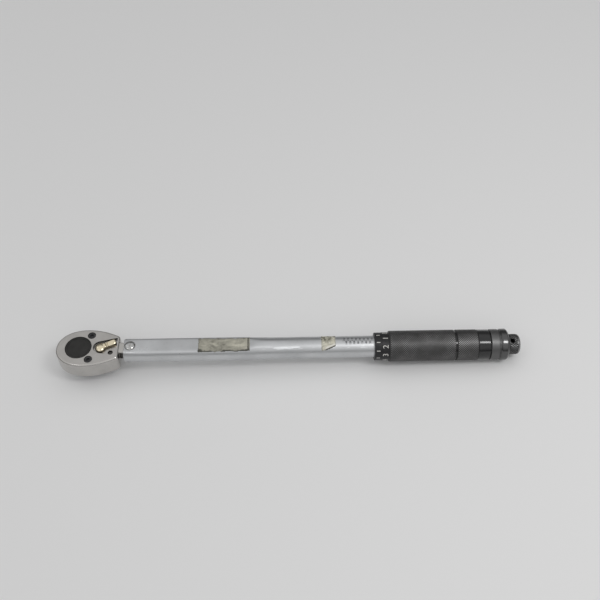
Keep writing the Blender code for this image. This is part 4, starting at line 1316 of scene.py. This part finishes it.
def finish_by_station(shape, zones):
    """Gives faces the finish of the first zone that ends behind them: (end, index) pairs."""
    for face in shape.faces:
        station = face.calc_center_median().x
        for end, index in zones:
            if station < end:
                face.material_index = index
                break


class WRENCH_OT_grip(bpy.types.Operator):
    """Builds the dial, the knurled grip with its ring groove and the gloss band as one sleeve"""

    bl_idname = "wrench.grip"
    bl_label = "Grip sleeve"

    def execute(self, context):
        handle = context.scene.wrench_handle
        tube = context.scene.wrench_tube
        bore = tube.radius + PLAY
        low = handle.grip_radius - handle.knurl_depth
        floor = handle.grip_radius - 0.0015
        half = 0.0009
        groove_front, groove_back = handle.groove - half, handle.groove + half
        front = (handle.dial_end + 0.0007, groove_front - 0.0002)
        back = (groove_back + 0.0002, handle.knurl_end - 0.0003)
        sizes = handle.grip_radius, handle.knurl_depth, handle.knurl
        sleeve = gather(knurled_sleeve(*ends, *sizes) for ends in (front, back))
        groove = [(groove_front, low - 0.0002), (groove_front, floor), (groove_back, floor)]
        groove.append((groove_back, low - 0.0002))
        groove_end = draw_on(sleeve, end_loop(sleeve, front[1]), groove)
        bmesh.ops.bridge_loops(sleeve, edges=groove_end + end_loop(sleeve, back[0]))
        ring_bore, ring_stop = 0.0133, 0.4050
        tail = [
            (handle.knurl_end - 0.0001, low - 0.0001),
            (handle.knurl_end, handle.band_radius - 0.0004),
            (handle.knurl_end + 0.0004, handle.band_radius, 0.0003),
            (handle.band_end, handle.band_radius, 0.0005),
            (handle.band_end, ring_bore),
            (ring_stop, ring_bore),
            (ring_stop, bore),
        ]
        last = draw_on(sleeve, end_loop(sleeve, back[1]), soften(tail))
        middle = (handle.dial_start + handle.dial_end) / 2 - 0.0003
        dial = handle.dial_radius
        nose = [
            (handle.dial_end, low - 0.0003),
            (handle.dial_end, dial + 0.0006),
            (handle.dial_end - 0.0003, dial + 0.0002),
            (middle + 0.0002, dial + 0.0002),
            (middle + 0.0001, dial - 0.0001),
            (middle - 0.0001, dial - 0.0001),
            (middle - 0.0002, dial),
            (handle.dial_start, dial, 0.0006),
            (handle.dial_start, bore),
        ]
        first = draw_on(sleeve, end_loop(sleeve, front[0]), soften(nose))
        bmesh.ops.bridge_loops(sleeve, edges=first + last)
        clean(sleeve, 1e-7)
        zones = [(handle.dial_end + 0.0001, 1), (groove_front, 0), (groove_back, 2)]
        zones += [(handle.knurl_end - 0.00006, 0), (1.0, 2)]
        finish_by_station(sleeve, zones)
        coats = ["grip", "dial", "band"]
        turn_into_piece("grip_body", sleeve, coats, "handle", ["grip_sleeve"])
        return {"FINISHED"}


class WRENCH_OT_dial_marks(bpy.types.Operator):
    """Paints the dial's plain numbers and lines"""

    bl_idname = "wrench.dial_marks"
    bl_label = "Dial marks"

    def execute(self, context):
        handle = context.scene.wrench_handle
        marks = []
        step = math.tau / handle.numeral_count
        for i in range(handle.numeral_count):
            turn = handle.numeral_turn + (i - 1) * step
            number = lettered(str(i), 0.0056)
            marks.append(wrap_mark(number, handle.dial_end - 0.0037, turn, handle.dial_radius + 0.0002))
            line = stroke(0.0009, 0.0035)
            spot = handle.dial_start + 0.0036
            marks.append(wrap_mark(line, spot, turn - step / 2, handle.dial_radius))
        turn_into_piece("dial_numbers", gather(marks), ["paint"], "handle", ())
        return {"FINISHED"}


class WRENCH_OT_end_cap(bpy.types.Operator):
    """Builds the satin ring, the dark groove and the polished end ring"""

    bl_idname = "wrench.end_cap"
    bl_label = "End rings"

    def execute(self, context):
        handle = context.scene.wrench_handle
        bore, hole, wall = 0.0114, 0.00632, handle.cap_end - 0.0092
        skirt, skirt_start = 0.0130, handle.ring_start - 0.0108
        groove = handle.ring_radius - 0.0007
        profile = [
            (skirt_start, bore),
            (skirt_start, skirt),
            (handle.ring_start, skirt),
            (handle.ring_start, handle.ring_radius, 0.0006),
            (handle.ring_end, handle.ring_radius, 0.0006),
            (handle.ring_end, groove),
            (handle.cap_start, groove),
            (handle.cap_start, handle.cap_radius - 0.0008),
            (handle.cap_start + 0.0013, handle.cap_radius, 0.0004),
            (handle.cap_end - CAP_CHAMFER, handle.cap_radius, 0.0006),
            (handle.cap_end, handle.cap_radius - CAP_CHAMFER, 0.0004),
            (handle.cap_end, hole, 0.0003),
            (wall, hole),
            (wall, bore),
        ]
        cap = spun(profile, 160, closed=True, corner_steps=5)
        finish_by_station(cap, [(handle.ring_end - 0.00005, 0), (handle.cap_start + 0.00005, 1), (1.0, 2)])
        turn_into_piece("end_rings", cap, ["ring", "seat", "cap"], "handle", ["end_cap"])
        return {"FINISHED"}


class WRENCH_OT_lock_knob(bpy.types.Operator):
    """Builds the knurled lock knob with its cross hole and stem"""

    bl_idname = "wrench.lock_knob"
    bl_label = "Lock knob"

    def execute(self, context):
        handle = context.scene.wrench_handle
        radius = handle.knob_radius
        deep = knob_knurl_depth(handle)
        low = radius - deep
        stem = 0.0039
        front = handle.knob_start + 0.0015
        back = handle.knob_end - 0.0030
        knob = knurled_sleeve(front, back, radius, deep, handle.knurl * 1.15)
        nose = [
            (front - 0.0003, low - 0.0001),
            (handle.knob_start + 0.0008, 0.93 * radius),
            (handle.knob_start + 0.0008, 0.80 * radius),
            (handle.knob_start, 0.80 * radius),
            (handle.knob_start, stem),
            (STEM_START, stem),
        ]
        first = draw_on(knob, end_loop(knob, front), nose)
        tail = [
            (back + 0.0003, low),
            (back + 0.0008, low - 0.0001),
            (back + 0.0015, low - 0.0006),
            (back + 0.0022, low - 0.0015),
            (back + 0.0027, low - 0.0026),
            (handle.knob_end, low - 0.0040),
            (handle.knob_end, 0.35 * radius),
        ]
        last = draw_on(knob, end_loop(knob, back), tail)
        for loop in (first, last):
            bmesh.ops.contextual_create(knob, geom=loop)
        clean(knob, 1e-7)
        finish_by_station(knob, [(front - 0.0001, 1), (back + 0.0001, 0), (1.0, 1)])
        turn = handle.knob_hole_turn
        way = Vector((0.0, -math.sin(turn), math.cos(turn))) * 2.0 * radius
        middle = Vector((handle.knob_start + 0.31 * (handle.knob_end - handle.knob_start), 0.0, 0.0))
        knob = carve(knob, bar(middle - way, middle + way, handle.knob_hole, sides=64))
        way.normalize()
        for face in knob.faces:
            off = face.calc_center_median() - middle
            if (off - way * off.dot(way)).length < 1.01 * handle.knob_hole:
                face.material_index = 2
        coats = ["knob", "knob_edge", "groove"]
        turn_into_piece("knurled_knob", knob, coats, "lock_knob", ["lock_knob"])
        return {"FINISHED"}


class WRENCH_OT_springs(bpy.types.Operator):
    """Winds the three springs"""

    bl_idname = "wrench.springs"
    bl_label = "Springs"

    def execute(self, context):
        head = context.scene.wrench_head
        low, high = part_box("main_spring")
        plunger_stroke = 0.0012
        ball = ball_level(head)
        pawl = Vector((head.lever_along, 0.0, pawl_level(head)))
        out = Vector((math.cos(head.lever_angle), math.sin(head.lever_angle), 0.0))
        slides = [joint for joint in frame["joints"] if joint["type"] == "slide"]
        travel = {joint["name"]: joint["range_m"][1] for joint in slides}

        def wind(node, body, joint, start, end, *sizes):
            start, end = Vector(start), Vector(end)
            wound = coil(start, end, *sizes)
            piece = turn_into_piece("wound_" + node, wound, ["spring"], body, [node])
            keep = 1.0 - travel[joint] / (end - start).length
            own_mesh(piece)

        ends = (low.x + plunger_stroke, 0.0, 0.0), (high.x, 0.0, 0.0)
        wind("main_spring", "housing", "handle_advance", *ends, 0.0066, 0.0032, 15)
        ends = (0.0, 0.00254, ball), (0.0, -0.00325, ball)
        wind("drive_ball_spring", "drive", "drive_ball_press", *ends, 0.0015, 0.0005, 5)
        ends = pawl + out * 0.0017, pawl - out * 0.0005
        wind("pawl_spring", "lever", "pawl_plunger_press", *ends, 0.0007, 0.0003, 2)
        return {"FINISHED"}


class WRENCH_OT_works(bpy.types.Operator):
    """Gives the nodes that nothing replaces, all inside the wrench, their metal finishes"""

    bl_idname = "wrench.works"
    bl_label = "Inner works"

    def execute(self, context):
        for name, node in frame["nodes"].items():
            if node.hide_render:
                continue
            finish = "brass" if name == "adjusting_nut" else "steel"
            node.data.materials.clear()
            node.data.materials.append(FINISHES[finish].material)
        return {"FINISHED"}


def pale_floor(scene):
    """The floor. It leans, because the wrench rests on the square's edge and the end ring."""
    head, handle = scene.wrench_head, scene.wrench_handle
    edge = head.square / 2 - SQUARE_EASE
    lean = math.atan2(AXIS_LEVEL - handle.cap_radius, handle.cap_end - CAP_CHAMFER - edge)
    floor = bmesh.new()
    bmesh.ops.create_grid(floor, x_segments=8, y_segments=8, size=100.0)
    swing(floor, -lean, "Y")
    shift(floor, (0.0, 0.0, -edge * math.tan(lean) - 0.0001))
    mesh = bpy.data.meshes.new("floor")
    floor.to_mesh(mesh)
    floor.free()
    pale = Finish("floor_pale", roughness=0.7, base_color=(*scene.wrench_finishes.floor, 1.0))
    mesh.materials.append(pale.material)
    plane = bpy.data.objects.new("floor", mesh)
    scene.collection.objects.link(plane)


def lamp(scene, name, power, spot, wide, deep):
    """A rectangular lamp that faces the nearest point of the tube's axis."""
    light = bpy.data.lights.new(name, "AREA")
    light.shape = "RECTANGLE"
    light.size = wide
    light.size_y = deep
    light.energy = power
    obj = bpy.data.objects.new(name, light)
    obj.location = spot
    aim = Vector((spot[0], 0.0, AXIS_LEVEL)) - Vector(spot)
    obj.rotation_euler = aim.to_track_quat("-Z", "Y").to_euler()
    scene.collection.objects.link(obj)


def studio_sky(scene):
    """A white sky, bright overhead and dim all round."""
    look = scene.wrench_stage
    world = bpy.data.worlds.new("studio_sky")
    world.use_nodes = True
    sky = Nodes(world.node_tree, "Background")
    sky.set("Color", (1.0, 1.0, 1.0, 1.0))
    way = sky.node("ShaderNodeTexCoord", output=0)
    high = (0.0, -math.sin(look.sky_tilt), math.cos(look.sky_tilt))
    facing = sky.node("ShaderNodeVectorMath", {"operation": "DOT_PRODUCT"}, {0: way, 1: high}, 1)
    smooth = {"interpolation_type": "SMOOTHSTEP"}
    limits = {0: facing, 1: 0.26, 2: 0.72, 3: look.sky_low, 4: look.sky}
    sky.set("Strength", sky.node("ShaderNodeMapRange", smooth, limits))
    scene.world = world


def photo_camera(scene):
    """The camera that the wrench's outlines in the photo gave."""
    lens = bpy.data.cameras.new("camera")
    lens.sensor_width = 36.0
    lens.lens = 48.31
    lens.clip_start = 0.01
    lens.clip_end = 300.0
    camera = bpy.data.objects.new("camera", lens)
    camera.location = (0.21378, -0.47585, 0.66906 + AXIS_LEVEL)
    camera.rotation_euler = (math.radians(38.814), 0.0, math.radians(-1.183))
    scene.collection.objects.link(camera)
    scene.camera = camera


class WRENCH_OT_stage(bpy.types.Operator):
    """Sets the floor, the lamps, the sky and the camera"""

    bl_idname = "wrench.stage"
    bl_label = "Studio"

    def execute(self, context):
        scene = context.scene
        look = scene.wrench_stage
        pale_floor(scene)
        lamp(scene, "main_lamp", look.key, (0.75, -0.37, 1.12), 0.42, 0.26)
        lamp(scene, "side_lamp", look.fill, (-0.9, 0.5, 0.8), 0.6, 0.6)
        lamp(scene, "near_lamp", look.near, (-0.49, -0.47, 1.03), 0.12, 0.12)
        studio_sky(scene)
        photo_camera(scene)
        scene.view_settings.view_transform = "Standard"
        return {"FINISHED"}


class WRENCH_PT_panel(bpy.types.Panel):
    """Lists the steps that build the wrench"""

    bl_idname = "WRENCH_PT_panel"
    bl_label = "Torque wrench"
    bl_space_type = "VIEW_3D"
    bl_region_type = "UI"
    bl_category = "Wrench"

    def draw(self, context):
        for step in STEPS:
            self.layout.operator(step.bl_idname)


GROUPS = {
    "wrench_head": WrenchHeadSizes,
    "wrench_tube": WrenchTubeSizes,
    "wrench_handle": WrenchHandleSizes,
    "wrench_finishes": WrenchFinishes,
    "wrench_stage": WrenchStage,
}
STEPS = [
    WRENCH_OT_head,
    WRENCH_OT_fittings,
    WRENCH_OT_lever,
    WRENCH_OT_drive,
    WRENCH_OT_tube,
    WRENCH_OT_labels,
    WRENCH_OT_scale,
    WRENCH_OT_grip,
    WRENCH_OT_dial_marks,
    WRENCH_OT_end_cap,
    WRENCH_OT_lock_knob,
    WRENCH_OT_springs,
    WRENCH_OT_works,
    WRENCH_OT_stage,
]


def register():
    for kind in (*GROUPS.values(), *STEPS, WRENCH_PT_panel):
        bpy.utils.register_class(kind)
    for name, kind in GROUPS.items():
        setattr(bpy.types.Scene, name, PointerProperty(type=kind))


def unregister():
    for name in GROUPS:
        delattr(bpy.types.Scene, name)
    for kind in reversed((*GROUPS.values(), *STEPS, WRENCH_PT_panel)):
        bpy.utils.unregister_class(kind)


def main():
    register()
    make_finishes(bpy.context.scene)
    for step in STEPS:
        group, name = step.bl_idname.split(".")
        getattr(getattr(bpy.ops, group), name)()


if __name__ == "__main__":
    main()
